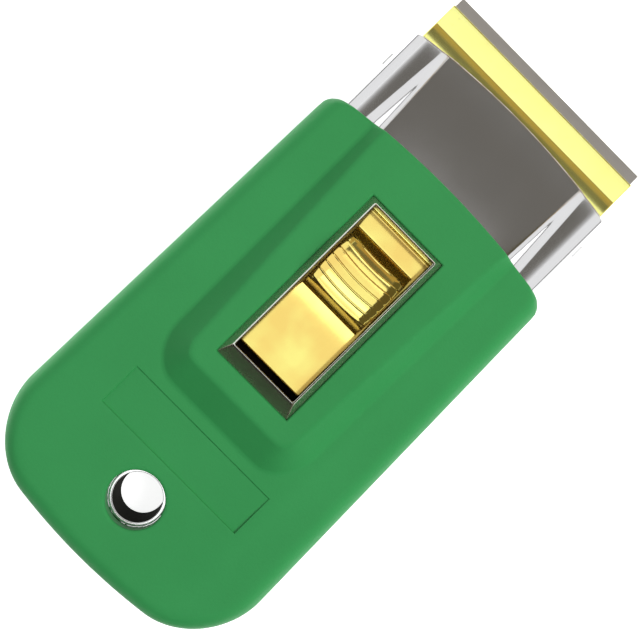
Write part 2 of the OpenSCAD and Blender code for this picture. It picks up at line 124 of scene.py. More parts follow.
# roundings of the case space in the grip: long edges, panel edges and panel foot
SPACE_EDGES = (1.6, 0.1, 0.02)

# case: corners, notches, raised panel and slightly crowned shoulders
CASE_CORNER = 8.5
CASE_FRONT_BOW = 1.6
NOTCH_TOP = 5.0
PANEL_HALF = 13.5
PANEL_FOOT_FRONT = 14.4
PANEL_REAR_X = -20.35
PANEL_RUNOUT = 0.1
PANEL_ROOT = 1.5
RAMP_LEAD = 0.8
SHOULDER_MID = 16.6
SHOULDER_REACH = 1.7
# sag at the reach, how many reaches it grows over, and where under the grip it comes in
SHOULDER_CROWN = 0.04
SHOULDER_LIMIT = 1.4
SHOULDER_LEAD = 5.0
SHOULDER_RUN = 3.0
SIN_45 = math.sqrt(0.5)
# between which levels and which half widths the inside turns dark with painted shade
CASE_DARK = (2.2, 2.3)
CASE_WITHIN = (19.6, 19.3)

# window frame: how far its rear, front and sides lean, and how its sections turn
WINDOW_LEAN = (2.4, 0.9, 1.0)
WALL_SHARES = (0.0, 0.04, 0.85)
WALL_CORNER = 0.3
INNER_CORNER = 0.12
FLANGE_CORNER = 0.6
RIM_CORNER = 0.1
RIM_STEPS = 4
SKIRT_BEND = 0.1
SKIRT_GAP = 0.1
# between which levels the wall's painted shade gives way to the bright rim
RIM_BRIGHT = (RIM_Z - 0.22, RIM_Z - 0.12)

# eyelet: broken edge of its lip, turn of the lip as a share of the sheet, and the levels between
# which the bore's painted shade turns bright
LIP_BREAK = 0.04
LIP_TURN = 0.4
BORE_BRIGHT = (7.05, 7.25)

# thumb latch: plate, bump and ribs
LATCH_HALF = 6.1
LATCH_TAIL_X = float(LATCH_LO[0]) - 0.35
LATCH_TIP = 0.3
BUMP_X = (2.4, 14.0)
BUMP_HALF = 5.58
BUMP_SHOULDER = 2.2
SHOULDER_DROP = 0.55
CROWN_X = (3.6, 12.1)
CROWN_RISE = 0.7
FLANK_RATIO = 45.0
# how softly the bump's slopes, crown, flanks and foot run into each other
SLOPE_SOFT = 0.35
CROWN_SOFT = 0.3
FLANK_SOFT = 0.2
FOOT_SOFT = math.sqrt(0.08)
FOOT_SINK = 0.02
# rise of the plate towards the bump: where it starts, where it fades and over what run
PLATE_RISE = 0.5
PLATE_RISE_X = -5.0
PLATE_FADE_X = 4.0
PLATE_FADE = 4.0
# ribs: how far they arch, and how they fade at the crown's ends, on steep faces and at the sides
RIB_ARCH = 0.5
RIB_FADE = 0.1
RIB_STEEP = 0.3
RIB_STOP = 0.25
RIB_RUN = 0.4

# upper jaw
JAW_REAR_X = 27.25
JAW_SHOULDER_X = 29.95
JAW_LAP = 1.0
JAW_RISE = 0.9
JAW_DIP = 0.32
LIP_Z = float(JAW_LO[2])
CREASE_X = 44.5
JOGGLE = 2.7
HIDDEN_RUN = 3.4
NECK_HALF = 16.6
BRIDGE_HALF = 11.0
BRIDGE_RUN = 5.4

# rivets of the jaws
RIVET_R = 1.0
RIVET_SHOULDER_R = 1.6
RIVET_SIDES = 48
RIVET_X = float(RIVET_LO[0] + RIVET_HI[0]) / 2
RIVET_Y = float(RIVET_HI[1]) - RIVET_SHOULDER_R
# lengths of a rivet: which radius, share of it left at the top, and its two levels
RIVET_STEPS = (("shank", 1.0, 3.2, 6.25), ("shoulder", 1.0, 2.9, 3.2), ("shoulder", 1.0, 4.0, 5.65),
               ("shoulder", 0.72, 6.25, 6.4))

# stage, in metres: camera, floor, sky and lamps
CAMERA_SPOT = Vector((-0.000023, 0.002662, 0.15368))
CAMERA_TILT = Vector((0.0166, 0.0058, 0.0016))
CAMERA_TURN = math.radians(44.6)
CAMERA_LENS = 54.99
FLOOR_HALF = 3.0
FLOOR_DROP = 0.0001
FLOOR_GLOW = 0.85
SKY = 0.12
LAMP_TARGET = (0.0, 0.0, 0.005)
# lamps: place, size and brightness of the face
SOFTBOXES = (
    ("top_box", (-0.05, 0.0, 0.6), (0.6, 0.34), 0.7),
    ("key_box", (0.30, -0.428, 0.67), (0.5, 0.5), 7.0),
    ("side_box", (-0.3, 0.6, 0.3), (0.6, 0.3), 0.8),
    ("left_table", (-0.005, 0.045, 0.002), (0.11, 0.005), 8.0),
    ("right_table", (-0.005, -0.045, 0.002), (0.11, 0.005), 3.0),
    ("rear_table", (-0.072, 0.0, 0.002), (0.05, 0.005), 5.0),
)
# cards that the metal mirrors: tone, or none for the dark card's, and two corners
CARDS = (
    ("panel_card", None, (0.188, -0.14, 0.4), (0.31, 0.14, 0.4)),
    ("lip_card", (1.25, 1.25, 1.25), (0.1, -0.12, 0.4), (0.187, 0.12, 0.4)),
    ("left_card", None, (0.03, 0.0136, 0.06), (0.057, 0.0296, 0.06)),
    ("right_card", None, (0.03, -0.0315, 0.06), (0.057, -0.0155, 0.06)),
    ("rear_floor", (0.035, 0.03, 0.026), (-0.5, -0.3, 0.0005), (-0.06, 0.3, 0.0005)),
    ("thumb_card", (0.11, 0.095, 0.06), (-0.05, -0.0165, 0.016), (0.042, -0.0165, 0.05)),
    ("bright_card", (2.0, 2.0, 2.0), (-0.3, -0.2, 0.6), (-0.12, 0.2, 0.6)),
)
# across which two lines, in millimetres, a soft card turns white
SOFT_CARDS = {"left_card": (25.8, 29.6), "right_card": (-27.7, -31.5)}
# upright screens: their distance, and each one's tone, turns and levels
SCREEN_R = 0.5
SCREENS = {
    "rear_screen": ((0.035, 0.03, 0.026), 135.0, 225.0, 0.0, 0.6),
    "front_screen": ((0.42, 0.3, 0.16), -45.0, 45.0, 0.11, 0.72),
    "left_screen": ((0.3, 0.3, 0.29), 50.0, 130.0, 0.0, 0.09),
    "right_screen": ((0.3, 0.3, 0.29), 230.0, 310.0, 0.0, 0.09),
}


class Wire:
    """A shader socket that can be used in sums; each sum adds a Math node."""

    def __init__(self, finish, socket):
        self.finish = finish
        self.socket = socket

    def sum_of(self, operation, first, second=None, clamp=False):
        values = {0: first} if second is None else {0: first, 1: second}
        settings = {"operation": operation, "use_clamp": clamp}
        return self.finish.node("ShaderNodeMath", settings, values)

    def __add__(self, other):
        return self.sum_of("ADD", self, other)

    def __sub__(self, other):
        return self.sum_of("SUBTRACT", self, other)

    def __rsub__(self, other):
        return self.sum_of("SUBTRACT", other, self)

    def __mul__(self, other):
        return self.sum_of("MULTIPLY", self, other)

    def __truediv__(self, other):
        return self.sum_of("DIVIDE", self, other)

    __radd__ = __add__
    __rmul__ = __mul__

    def held(self):
        """The value held between 0 and 1."""
        return self.sum_of("ADD", self, 0.0, clamp=True)

    def larger(self, other):
        return self.sum_of("MAXIMUM", self, other)

    def unsigned(self):
        return self.sum_of("ABSOLUTE", self)

    def between(self, low, high):
        """0 at one place along an axis and 1 at another; the places are in millimetres."""
        return ((self - low * MM) / ((high - low) * MM)).held()


class Finish:
    """A node material, or the world, under construction."""

    def __init__(self, owner):
        owner.use_nodes = True
        self.owner = owner
        self.tree = owner.node_tree
        self.tree.nodes.clear()

    def node(self, kind, settings=None, sockets=None, out=0):
        """Adds one node: its settings first, then values or links for its sockets."""
        made = self.tree.nodes.new(kind)
        for name, value in (settings or {}).items():
            if name == "stops":
                self.set_stops(made.color_ramp, value)
            else:
                setattr(made, name, value)
        for key, value in (sockets or {}).items():
            if isinstance(value, Wire):
                self.tree.links.new(value.socket, made.inputs[key])
            else:
                made.inputs[key].default_value = value
        return Wire(self, made.outputs[out]) if len(made.outputs) else made

    @staticmethod
    def set_stops(ramp, stops):
        for place, _ in stops[2:]:
            ramp.elements.new(place)
        for element, (place, tone) in zip(ramp.elements, stops):
            element.position = place
            element.color = (*tone, 1.0)

    def place(self):
        """Object coordinates, in metres."""
        return self.node("ShaderNodeTexCoord", out="Object")

    def axis(self, name):
        """One of the object coordinates."""
        return self.node("ShaderNodeSeparateXYZ", None, {"Vector": self.place()}, out=name)

    def stretched(self, scale):
        """Object coordinates scaled for patterns with a direction."""
        return self.node("ShaderNodeMapping", None, {"Vector": self.place(), "Scale": scale})

    def brushed(self, scale):
        """Fine lines along the axes with a low scale."""
        return self.noise(self.stretched(scale), 1.0, 2.0, 0.7)

    def noise(self, where, scale, detail=2.0, roughness=0.5):
        return self.node("ShaderNodeTexNoise", None,
                         {"Vector": where, "Scale": scale, "Detail": detail, "Roughness": roughness})

    def mix(self, share, first, second):
        """Two colours mixed by a share."""
        sockets = {0: share}
        for key, tone in ((6, first), (7, second)):
            sockets[key] = tone if isinstance(tone, Wire) else (*tone, 1.0)
        return self.node("ShaderNodeMix", {"data_type": "RGBA"}, sockets, out=2)

    def bump(self, height, strength, depth=0.00001):
        """Surface relief; depth is in metres."""
        return self.node("ShaderNodeBump", None,
                         {"Height": height, "Strength": strength, "Distance": depth})

    def seen_as_background(self):
        """1 for rays that show the background: to the camera, in metal and through glass."""
        rays = [self.node("ShaderNodeLightPath", out=f"Is {kind} Ray")
                for kind in ("Camera", "Glossy", "Transmission")]
        return rays[0].larger(rays[1]).larger(rays[2])

    def surface(self, **sockets):
        """Principled surface on the output; keys are socket names with _ for spaces."""
        named = {key.replace("_", " "): value for key, value in sockets.items()}
        return self.closed(self.node("ShaderNodeBsdfPrincipled", None, named))

    def closed(self, shader, kind="Material"):
        """Ends the tree in its output and gives back what it belongs to."""
        self.node(f"ShaderNodeOutput{kind}", None, {"Surface": shader})
        return self.owner


def new_finish(name):
    return Finish(bpy.data.materials.new(name))


def moulded_green(looks):
    """Matte moulded rubber with a fine grain and slightly mottled colour."""
    finish = new_finish("moulded_green")
    where = finish.place()
    cloud = finish.noise(where, 90.0, 3.0)
    grain = finish.noise(where, 3200.0, 2.0, 0.6)
    pits = finish.noise(where, 1100.0, 2.0, 0.6)
    base = looks.grip_colour
    dark = [0.86 * c for c in base]
    light = [min(1.0, 1.1 * c + 0.006) for c in base]
    tone = (cloud * 0.55 + grain * 0.45).held()
    relief = grain * 0.7 + pits * 0.6
    return finish.surface(
        Base_Color=finish.mix(tone, dark, light),
        Roughness=0.50 + 0.16 * grain,
        Normal=finish.bump(relief, 0.35, 0.00006),
        Specular_IOR_Level=0.42,
        Sheen_Weight=0.10,
        Sheen_Roughness=0.4,
    )


def plated_steel(name, base, rough, tarnish):
    """Bright plated sheet with faint lengthwise polishing lines, hazy patches and small specks."""
    finish = new_finish(name)
    where = finish.place()
    lines = finish.brushed((60.0, 5200.0, 5200.0))
    haze = finish.noise(where, 170.0, 4.0, 0.6)
    specks = finish.noise(where, 2600.0, 1.0)
    spot = finish.node("ShaderNodeValToRGB", {"stops": [(0.69, (0, 0, 0)), (0.76, (1, 1, 1))]},
                       {"Fac": specks})
    dull = [(1.0 - tarnish) * c for c in base]
    return finish.surface(
        Base_Color=finish.mix((haze * 0.7 + lines * 0.3).held(), dull, base),
        Metallic=1.0,
        Roughness=(rough - 0.02 + 0.02 * haze + 0.02 * lines + 0.02 * spot).held(),
        Normal=finish.bump(lines, 0.02),
    )


def frame_plating(looks):
    """Plated window frame whose walls are darkened with painted shade, under a rim in the bright plating."""
    finish = new_finish("frame_plating")
    rim = finish.axis("Z").between(*RIM_BRIGHT)
    lines = finish.brushed((60.0, 60.0, 5200.0))
    haze = finish.noise(finish.place(), 400.0, 4.0, 0.6)
    # painted shade: the walls take a darker plating tone than the rim where they stand in shade
    dull = [0.8 * c for c in looks.frame_shaded_colour]
    wall = finish.mix((haze * 0.7 + lines * 0.3).held(), dull, looks.frame_shaded_colour)
    return finish.surface(
        Base_Color=finish.mix(rim, wall, (0.76, 0.78, 0.70)),
        Metallic=0.9 + 0.1 * rim,
        Roughness=(0.24 - 0.14 * rim + 0.06 * haze).held(),
        Normal=finish.bump(lines, 0.02),
    )


def shaded_inside(looks):
    """Plated sheet whose inner side, above a level, carries painted shade: dark and dull."""
    finish = new_finish("case_painted_shade")
    # painted shade on the inside of the case: dark and dull above a level, within the side walls
    within = finish.axis("Y").unsigned().between(*CASE_WITHIN)
    dark = finish.axis("Z").between(*CASE_DARK) * within
    haze = finish.noise(finish.place(), 300.0, 3.0, 0.6)
    # painted shade: a dark brown tone with faint random clouds where the gap inside the case lies in shadow
    painted_shade_tone = finish.mix(haze, (0.012, 0.008, 0.005), (0.03, 0.02, 0.013))
    return finish.surface(
        Base_Color=finish.mix(dark, looks.plate_colour, painted_shade_tone),
        Metallic=1.0 - dark,
        Roughness=(0.14 + 0.6 * dark + 0.04 * haze).held(),
        Specular_IOR_Level=0.1,
    )


def dark_bore(looks):
    """Plated roll of the eyelet over a bore painted black as shade."""
    finish = new_finish("dark_bore")
    bright = finish.axis("Z").between(*BORE_BRIGHT)
    haze = finish.noise(finish.place(), 700.0, 3.0, 0.6)
    # painted shade: the bore is black and dull where it lies in shadow and mirrors the dark underside
    bore_painted_shade = finish.mix(haze, (0.010, 0.010, 0.009), (0.022, 0.021, 0.018))
    return finish.surface(
        Base_Color=finish.mix(bright, bore_painted_shade, looks.plate_colour),
        Metallic=bright,
        Roughness=(0.84 - 0.66 * bright + 0.08 * haze).held(),
        Normal=finish.bump(haze, 0.05),
        Specular_IOR_Level=0.1,
    )


def brass(name, base, deep, rough, lines_along, relief):
    """Lacquered brass sheet with rolling lines, soft clouds and a few darker handling marks."""
    finish = new_finish(name)
    where = finish.place()
    scale = (70.0, 4200.0, 4200.0) if lines_along == "x" else (4200.0, 70.0, 4200.0)
    lines = finish.brushed(scale)
    blotch = finish.noise(where, 150.0, 2.0, 0.5)
    cloud = ((blotch - 0.36) * 3.4).held()
    marks = finish.noise(where, 900.0, 3.0, 0.7)
    mark = finish.node("ShaderNodeValToRGB", {"stops": [(0.63, (0, 0, 0)), (0.74, (1, 1, 1))]},
                       {"Fac": marks})
    worn = [0.9 * c for c in deep]
    tone = finish.mix((cloud * 0.85 + lines * 0.15).held(), deep, base)
    return finish.surface(
        Base_Color=finish.mix(mark * 0.15, tone, worn),
        Metallic=1.0,
        Roughness=(rough - 0.02 + 0.02 * cloud + 0.02 * lines + 0.06 * mark).held(),
        Normal=finish.bump(lines, relief),
        Coat_Weight=0.12,
        Coat_Roughness=0.2,
    )


def ground_steel(looks):
    """Blade steel with grinding lines that run with the edge."""
    finish = new_finish("ground_steel")
    lines = finish.brushed((9000.0, 140.0, 2600.0))
    cloud = finish.noise(finish.place(), 240.0, 3.0)
    base = looks.blade_colour
    dark = [0.72 * c for c in base]
    return finish.surface(
        Base_Color=finish.mix((lines * 0.6 + cloud * 0.4).held(), dark, base),
        Metallic=1.0,
        Roughness=0.44 + 0.14 * lines,
        Normal=finish.bump(lines, 0.06),
    )


def white_sweep(looks):
    """Floor that stays white to the eye and in the metal and still takes a soft shadow."""
    finish = new_finish("white_sweep")
    seen = finish.seen_as_background()
    cloud = finish.noise(finish.place(), 3.0)
    paper = finish.mix(cloud, [0.98 * looks.floor_tone] * 3, [looks.floor_tone] * 3)
    matte = finish.node("ShaderNodeBsdfDiffuse", None, {"Color": paper})
    glow = finish.node("ShaderNodeEmission", None, {"Strength": seen * FLOOR_GLOW})
    return finish.closed(finish.node("ShaderNodeAddShader", None, {0: matte, 1: glow}))


def studio_card(name, tone, soft=None):
    """Card that only the metal mirrors; a soft one turns white from one line across to another."""
    finish = new_finish(name)
    cloud = finish.noise(finish.place(), 4.0)
    colour = finish.mix(cloud, [0.9 * c for c in tone], [1.1 * c for c in tone])
    if soft:
        colour = finish.mix(finish.axis("Y").between(*soft), colour, (1.0, 1.0, 1.0))
    return finish.closed(finish.node("ShaderNodeEmission", None, {"Color": colour, "Strength": 1.0}))


def round_both(a, b, r):
    """Distance field of what lies in both, with the edge between them rounded."""
    return np.minimum(-r, np.maximum(a, b)) + np.hypot(np.maximum(a + r, 0), np.maximum(b + r, 0))


def round_either(a, b, r):
    """Distance field of what lies in either, with a hollow fillet between them."""
    return np.maximum(r, np.minimum(a, b)) - np.hypot(np.maximum(r - a, 0), np.maximum(r - b, 0))


def brick(x, y, low, high):
    """Distance in plan to an upright block between two corners."""
    return np.maximum(np.maximum(low[0] - x, x - high[0]), np.maximum(low[1] - y, y - high[1]))


def grid_lines(low, high, step, packs):
    """Grid lines from low to high; each pack (from, to, step) is a stretch with its own spacing."""
    parts = [np.arange(low, high + step, step)]
    for start, stop, fine in packs:
        clear = GRID_CLEAR * fine
        parts = [p[(p < start - clear) | (p > stop + clear)] for p in parts]
        parts.append(np.linspace(start, stop, max(2, round((stop - start) / fine) + 1)))
    return np.unique(np.round(np.concatenate(parts), 4))


def mirrored(packs):
    return packs + [(-stop, -start, fine) for start, stop, fine in packs]


def snapped(place):
    """A place of the frame taken to a round length, clear of rounding noise."""
    return round(float(place) / GRID_SNAP) * GRID_SNAP


def around(place, before, after, step):
    """Stretch of closer grid lines that starts some way before a place and stops some way after it."""
    return snapped(place) - before, snapped(place) + after, step


def field_slope(field, points, step=0.004):
    slope = np.empty_like(points)
    for axis in range(3):
        move = np.zeros(3)
        move[axis] = step
        slope[:, axis] = (field(*(points + move).T) - field(*(points - move).T)) / (2 * step)
    return slope


def skin_of(field, xs, ys, zs, rounds=4):
    """Closed quad skin of a distance field on a grid with uneven lines, pulled onto the field."""
    grid = (xs, ys, zs)
    shape = np.array([len(g) for g in grid])
    value = field(xs[:, None, None], ys[None, :, None], zs[None, None, :])
    value = np.broadcast_to(value, shape).copy()
    value[np.abs(value) < SKIN_ZERO] = SKIN_ZERO
    inside = value < 0
    total = np.zeros((*(shape - 1), 3))
    count = np.zeros(shape - 1)
    crossings = []
    for axis in range(3):
        near = [slice(None)] * 3
        far = [slice(None)] * 3
        near[axis], far[axis] = slice(None, -1), slice(1, None)
        cut = np.argwhere(inside[tuple(near)] != inside[tuple(far)])
        step = np.eye(3, dtype=int)[axis]
        v0 = value[tuple(cut.T)]
        v1 = value[tuple((cut + step).T)]
        share = v0 / (v0 - v1)
        spot = np.stack([grid[k][cut[:, k]] for k in range(3)], axis=1)
        line = grid[axis]
        spot[:, axis] += share * (line[cut[:, axis] + 1] - line[cut[:, axis]])
        others = [k for k in range(3) if k != axis]
        cells = []
        for da, db in ((0, 0), (1, 0), (1, 1), (0, 1)):
            cell = cut.copy()
            cell[:, others[0]] -= da
            cell[:, others[1]] -= db
            cells.append(cell)
            np.add.at(total, tuple(cell.T), spot)
            np.add.at(count, tuple(cell.T), 1)
        crossings.append((axis, v0 < 0, cells))
    used = count > 0
    index = np.full(shape - 1, -1)
    index[used] = np.arange(used.sum())
    points = total[used] / count[used][:, None]
    for _ in range(rounds):
        slope = field_slope(field, points)
        steep = np.maximum((slope ** 2).sum(1), SKIN_FLATTEST)
        points -= np.clip((field(*points.T) / steep)[:, None] * slope, -SKIN_PULL, SKIN_PULL)
    faces = []
    for axis, outward, cells in crossings:
        quads = np.stack([index[tuple(c.T)] for c in cells], axis=1)
        flip = ~outward if axis != 1 else outward
        quads[flip] = quads[flip][:, ::-1]
        faces.append(quads)
    return points, np.concatenate(faces)


def mesh_of(name, points, faces, weighted=False):
    """Smooth mesh from points in millimetres; weighted lets large faces set the shading."""
    mesh = bpy.data.meshes.new(name)
    mesh.from_pydata((np.asarray(points) * MM).tolist(), [], [tuple(map(int, f)) for f in faces])
    mesh.polygons.foreach_set("use_smooth", [True] * len(mesh.polygons))
    mesh.validate()
    mesh.update()
    if weighted:
        normals = np.zeros((len(mesh.vertices), 3))
        for face in mesh.polygons:
            normals[list(face.vertices)] += np.array(face.normal) * face.area
        normals /= np.maximum(np.linalg.norm(normals, axis=1), 1e-12)[:, None]
        mesh.normals_split_custom_set_from_vertices(normals.tolist())
    return mesh


def mm(length):
    return length / MM


def bow_field(x, y, front, half, bow):
    """Distance to an end that bows outwards by a given amount across its half width."""
    r = (half * half + bow * bow) / (2 * bow)
    return np.hypot(x - (front - r), y) - r


def case_field(x, y, z, grow, edge, panel_edge, foot_fillet):
    """Outside of the case without its front end: rounded box with the raised, ramped panel."""
    side = np.abs(y) - CASE_HI[1] - grow
    plan = round_both(CASE_LO[0] - grow - x, side, CASE_CORNER + grow)
    off_mid = (np.abs(y) - SHOULDER_MID) / SHOULDER_REACH
    sag = SHOULDER_CROWN * np.clip(off_mid, -SHOULDER_LIMIT, SHOULDER_LIMIT) ** 2
    sag = sag * ease((x - GRIP_HI[0] + SHOULDER_LEAD) / SHOULDER_RUN)
    box = round_both(plan, z - SHOULDER_Z + sag - grow, edge)
    ramp_x = GRIP_HI[0] - RAMP_LEAD
    ramp_run = CASE_HI[0] - ramp_x + PANEL_RUNOUT
    rise = PANEL_Z - SHOULDER_Z
    along = np.maximum(x - ramp_x, 0) / ramp_run
    top = (z - (PANEL_Z - rise * along) - grow) / math.hypot(1, rise / ramp_run)
    foot = PANEL_HALF + rise + (PANEL_FOOT_FRONT - PANEL_HALF - rise) * along
    slope = (np.abs(y) - foot + (z - SHOULDER_Z)) * SIN_45 - grow
    rear = (PANEL_REAR_X - (PANEL_Z - z) - x) * SIN_45 - grow
    panel = round_both(round_both(top, slope, panel_edge), rear, panel_edge)
    panel = np.maximum(np.maximum(panel, plan), SHOULDER_Z - PANEL_ROOT - z)
    return round_either(box, panel, foot_fillet)


def grip_field(sizes):
    """Distance field of the grip: rounded slab, raised pad, window, hang hole, recess and case space."""
    edge, corner = mm(sizes.grip_edge), mm(sizes.grip_corner)
    front_edge, pad_round, pad_blend = mm(sizes.front_edge), mm(sizes.pad_round), mm(sizes.pad_blend)
    label_l, label_w, label_d = mm(sizes.label_length), mm(sizes.label_width), mm(sizes.label_depth)
    rear_half, front_half = GRIP_HI[1], GRIP_HI[1] - mm(sizes.grip_taper)
    taper_run = GRIP_HI[0] - (GRIP_LO[0] + corner)
    taper = math.atan2(rear_half - front_half, taper_run)
    pad_widen = (PAD_HALF_FRONT - PAD_HALF_REAR) / (GRIP_HI[0] - PAD_FOOT_X)

    def field(x, y, z):
        wide = np.abs(y)
        side = (wide - rear_half) * math.cos(taper) + (x - GRIP_LO[0] - corner) * math.sin(taper)
        rear = GRIP_LO[0] + REAR_BOW * (y / (rear_half - corner)) ** 2 - x
        plan = round_both(rear, side, corner)
        body = round_both(plan, np.abs(z - GRIP_TOP / 2) - GRIP_TOP / 2, edge)
        ahead = x - PAD_EDGE_X
        high = PAD_TOP_REAR - np.maximum(ahead, 0) * PAD_FALL - GRIP_TOP
        side_run = PAD_SIDE_RUN * high
        half = PAD_HALF_REAR + (x - PAD_FOOT_X) * pad_widen - side_run
        out = round_both(-ahead / (PAD_EDGE_X - PAD_FOOT_X), (wide - half) / side_run, PAD_CORNER)
        slope = (z - GRIP_TOP - high * (1 - out)) / math.hypot(1, 1 / PAD_SIDE_RUN)
        cap = (z - PAD_TOP_REAR + ahead * PAD_FALL) / math.hypot(1, PAD_FALL)
        pad = round_both(slope, cap, pad_round)
        grip = round_either(body, np.maximum(pad, GRIP_TOP - PAD_ROOT - z), pad_blend)
        at_corner = np.clip((wide - front_half + CORNER_START) / CORNER_RUN, 0, 1)
        nose = front_edge + (FRONT_CORNER - front_edge) * at_corner
        grip = round_both(grip, bow_field(x, y, GRIP_HI[0], front_half, FRONT_BOW), nose)
        tilt = label_d * (1 - LABEL_TILT * (x - LABEL_X) / label_l)
        recess = brick(x, y, (LABEL_X, -label_w / 2), (LABEL_X + label_l, label_w / 2))
        recess = np.maximum(recess, GRIP_TOP - tilt - z)
        grip = round_both(grip, -recess, LABEL_EDGE)
        hole = np.hypot(x - HOLE_X, y) - HOLE_R
        grip = round_both(grip, -hole, mm(sizes.hole_round))
        window = brick(x, y, WINDOW_LO - SEAT_GAP, WINDOW_HI + SEAT_GAP)
        grip = round_both(grip, -np.maximum(window, PANEL_Z - z), mm(sizes.window_round))
        pocket = brick(x, y, FRAME_LO[:2] - SEAT_GAP, FRAME_HI[:2] + SEAT_GAP)
        pocket = np.maximum(pocket, np.abs(z - PANEL_Z - POCKET_H / 2) - POCKET_H / 2 - SEAT_GAP)
        grip = np.maximum(grip, -pocket)
        lug = np.maximum(np.abs(x - LUG_REAR_X) - NOTCH / 2, wide - CASE_HI[1] - LUG_PROUD - SEAT_GAP)
        grip = np.maximum(grip, -np.maximum(lug, np.abs(z - LUG_MID_Z) - LUG_HALF_H))
        space = np.maximum(case_field(x, y, z, SEAT_GAP, *SPACE_EDGES), CASE_LO[2] - SEAT_GAP - z)
        return round_both(grip, -space, MOUTH_EDGE)

    return field


def grip_lines(sizes):
    """Grid lines for the grip, close together where an edge or a fillet runs."""
    label_end = LABEL_X + mm(sizes.label_length)
    label_half = mm(sizes.label_width) / 2
    half = snapped(GRIP_HI[1])
    xs = grid_lines(GRIP_LO[0] - 0.7, GRIP_HI[0] + 0.7, 1.2, [
        around(GRIP_LO[0], 0.2, 4.1, 0.45), around(HOLE_X, 5.2, 5.2, 0.4),
        around(LABEL_X, 0.2, 0.2, 0.08), around(label_end, 0.2, 0.2, 0.08),
        (PAD_FOOT_X - 0.95, PAD_EDGE_X + 1.65, 0.3), around(WINDOW_LO[0], 0.55, 0.15, 0.12),
        around(WINDOW_HI[0], 0.15, 0.55, 0.12), around(GRIP_HI[0], 2.15, 0.3, 0.17)])
    ys = grid_lines(-half - 1.0, half + 1.0, 1.2, mirrored([
        (0.0, 5.2, 0.4), around(WINDOW_HI[1], 0.15, 0.55, 0.12), around(PAD_HALF_REAR, 4.8, -1.2, 0.3),
        around(label_half, 0.2, 0.2, 0.08), (PAD_HALF_REAR - 0.2, PAD_HALF_FRONT + 0.8, 0.24),
        around(CASE_HI[1], 1.9, 0.3, 0.3), around(half, mm(sizes.grip_taper) + 1.9, 0.2, 0.4)]))
    zs = grid_lines(-0.3, PAD_TOP_REAR + 0.4, 0.45, [
        (-0.1, 0.5, 0.12), around(CASE_LO[2], 0.25, 0.15, 0.1), around(SHOULDER_Z, 1.8, 0.2, 0.3),
        around(GRIP_TOP, 0.7, 0.3, 0.14), around(PAD_TOP_REAR, 2.5, 0.2, 0.21)])
    return xs, ys, zs


def case_top_field(sizes):
    """Distance field of the upper case shell: thin sheet with its window, notches and hang hole."""
    t = mm(sizes.sheet)
    shoulder, panel_edge, panel_foot = mm(sizes.case_edge), mm(sizes.panel_edge), mm(sizes.panel_foot)
    case_hole = mm(sizes.bore_top) / 2 + mm(sizes.eyelet_sheet)

    def field(x, y, z):
        wide = np.abs(y)
        outer = case_field(x, y, z, 0.0, shoulder, panel_edge, panel_foot)
        shell = np.maximum(np.maximum(outer, -outer - t), CASE_LO[2] - z)
        front = bow_field(x, y, CASE_HI[0], CASE_HI[1], CASE_FRONT_BOW)
        shell = round_both(shell, front, CUT_EDGE)
        window = brick(x, y, WINDOW_LO + t, WINDOW_HI - t)
        shell = np.maximum(shell, -np.maximum(window, SHOULDER_Z - z))
        for lug_x in (LUG_REAR_X, LUG_FRONT_X):
            notch = np.maximum(np.abs(x - lug_x) - NOTCH / 2, CASE_HI[1] - t - SEAT_GAP - wide)
            shell = round_both(shell, -np.maximum(notch, z - NOTCH_TOP), CUT_EDGE)
        return np.maximum(shell, case_hole - np.hypot(x - HOLE_X, y))

    return field


def case_top_lines():
    """Grid lines for the upper case shell, close together at its cuts, edges and panel."""
    half, front = snapped(CASE_HI[1]), snapped(CASE_HI[0])
    notch = [x + s * NOTCH / 2 for x in (LUG_REAR_X, LUG_FRONT_X) for s in (-1, 1)]
    xs = grid_lines(CASE_LO[0] - 0.5, CASE_HI[0] + 0.5, 1.2, [
        around(CASE_LO[0], 0.3, 8.9, 0.3), around(HOLE_X, -0.4, 4.8, 0.4),
        around(PANEL_REAR_X, 2.55, 0.35, 0.28), around(WINDOW_LO[0], -0.3, 0.9, 0.2),
        around(WINDOW_HI[0], 0.9, -0.3, 0.2),
        (snapped(GRIP_HI[0]) - 2.1, notch[2] - 0.25, 0.33), (notch[3] + 0.25, front - 1.9, 0.33),
        *[around(x, 0.25, 0.25, 0.1) for x in notch], around(front, 1.8, 0.2, 0.11)])
    ys = grid_lines(-half - 0.5, half + 0.5, 1.1, mirrored([
        around(WINDOW_HI[1], 1.2, -0.2, 0.25), around(PANEL_HALF, 1.5, 2.9, 0.2),
        around(SHOULDER_MID, 0.0, 2.4, 0.3), around(half, 1.4, 0.2, 0.15), (0.0, 4.8, 0.5)]))
    zs = grid_lines(snapped(CASE_LO[2]) - 0.3, PANEL_Z + 0.4, 0.7, [
        around(CASE_LO[2], 0.15, 0.15, 0.1), around(NOTCH_TOP, 0.25, 0.25, 0.1),
        around(SHOULDER_Z, 1.9, -0.9, 0.2), (SHOULDER_Z - 0.8, PANEL_Z + 0.2, 0.15)])
    return xs, ys, zs


def ring_corners(low, high, r, z, steps=4):
    """One rounded rectangle of a loft, counter-clockwise seen from above."""
    points = []
    for k, (cx, cy) in enumerate(((high[0] - r, high[1] - r), (low[0] + r, high[1] - r),
                                  (low[0] + r, low[1] + r), (high[0] - r, low[1] + r))):
        for i in range(steps + 1):
            a = (k + i / steps) * math.pi / 2
            points.append((cx + r * math.cos(a), cy + r * math.sin(a), z))
    return points


def loft(rings):
    """Closed skin over rings that follow each other round a hollow section."""
    count = len(rings[0])
    points = np.array([p for ring in rings for p in ring])
    faces = []
    for i in range(len(rings)):
        j = (i + 1) % len(rings)
        for k in range(count):
            n = (k + 1) % count
            faces.append((i * count + k, i * count + n, j * count + n, j * count + k))
    return points, faces


def skirt_at(x):
    """Level at which the walls of the window frame start to lean, just over the sloping pad."""
    return PAD_TOP_REAR - PAD_FALL * (x - PAD_EDGE_X) + SKIRT_GAP


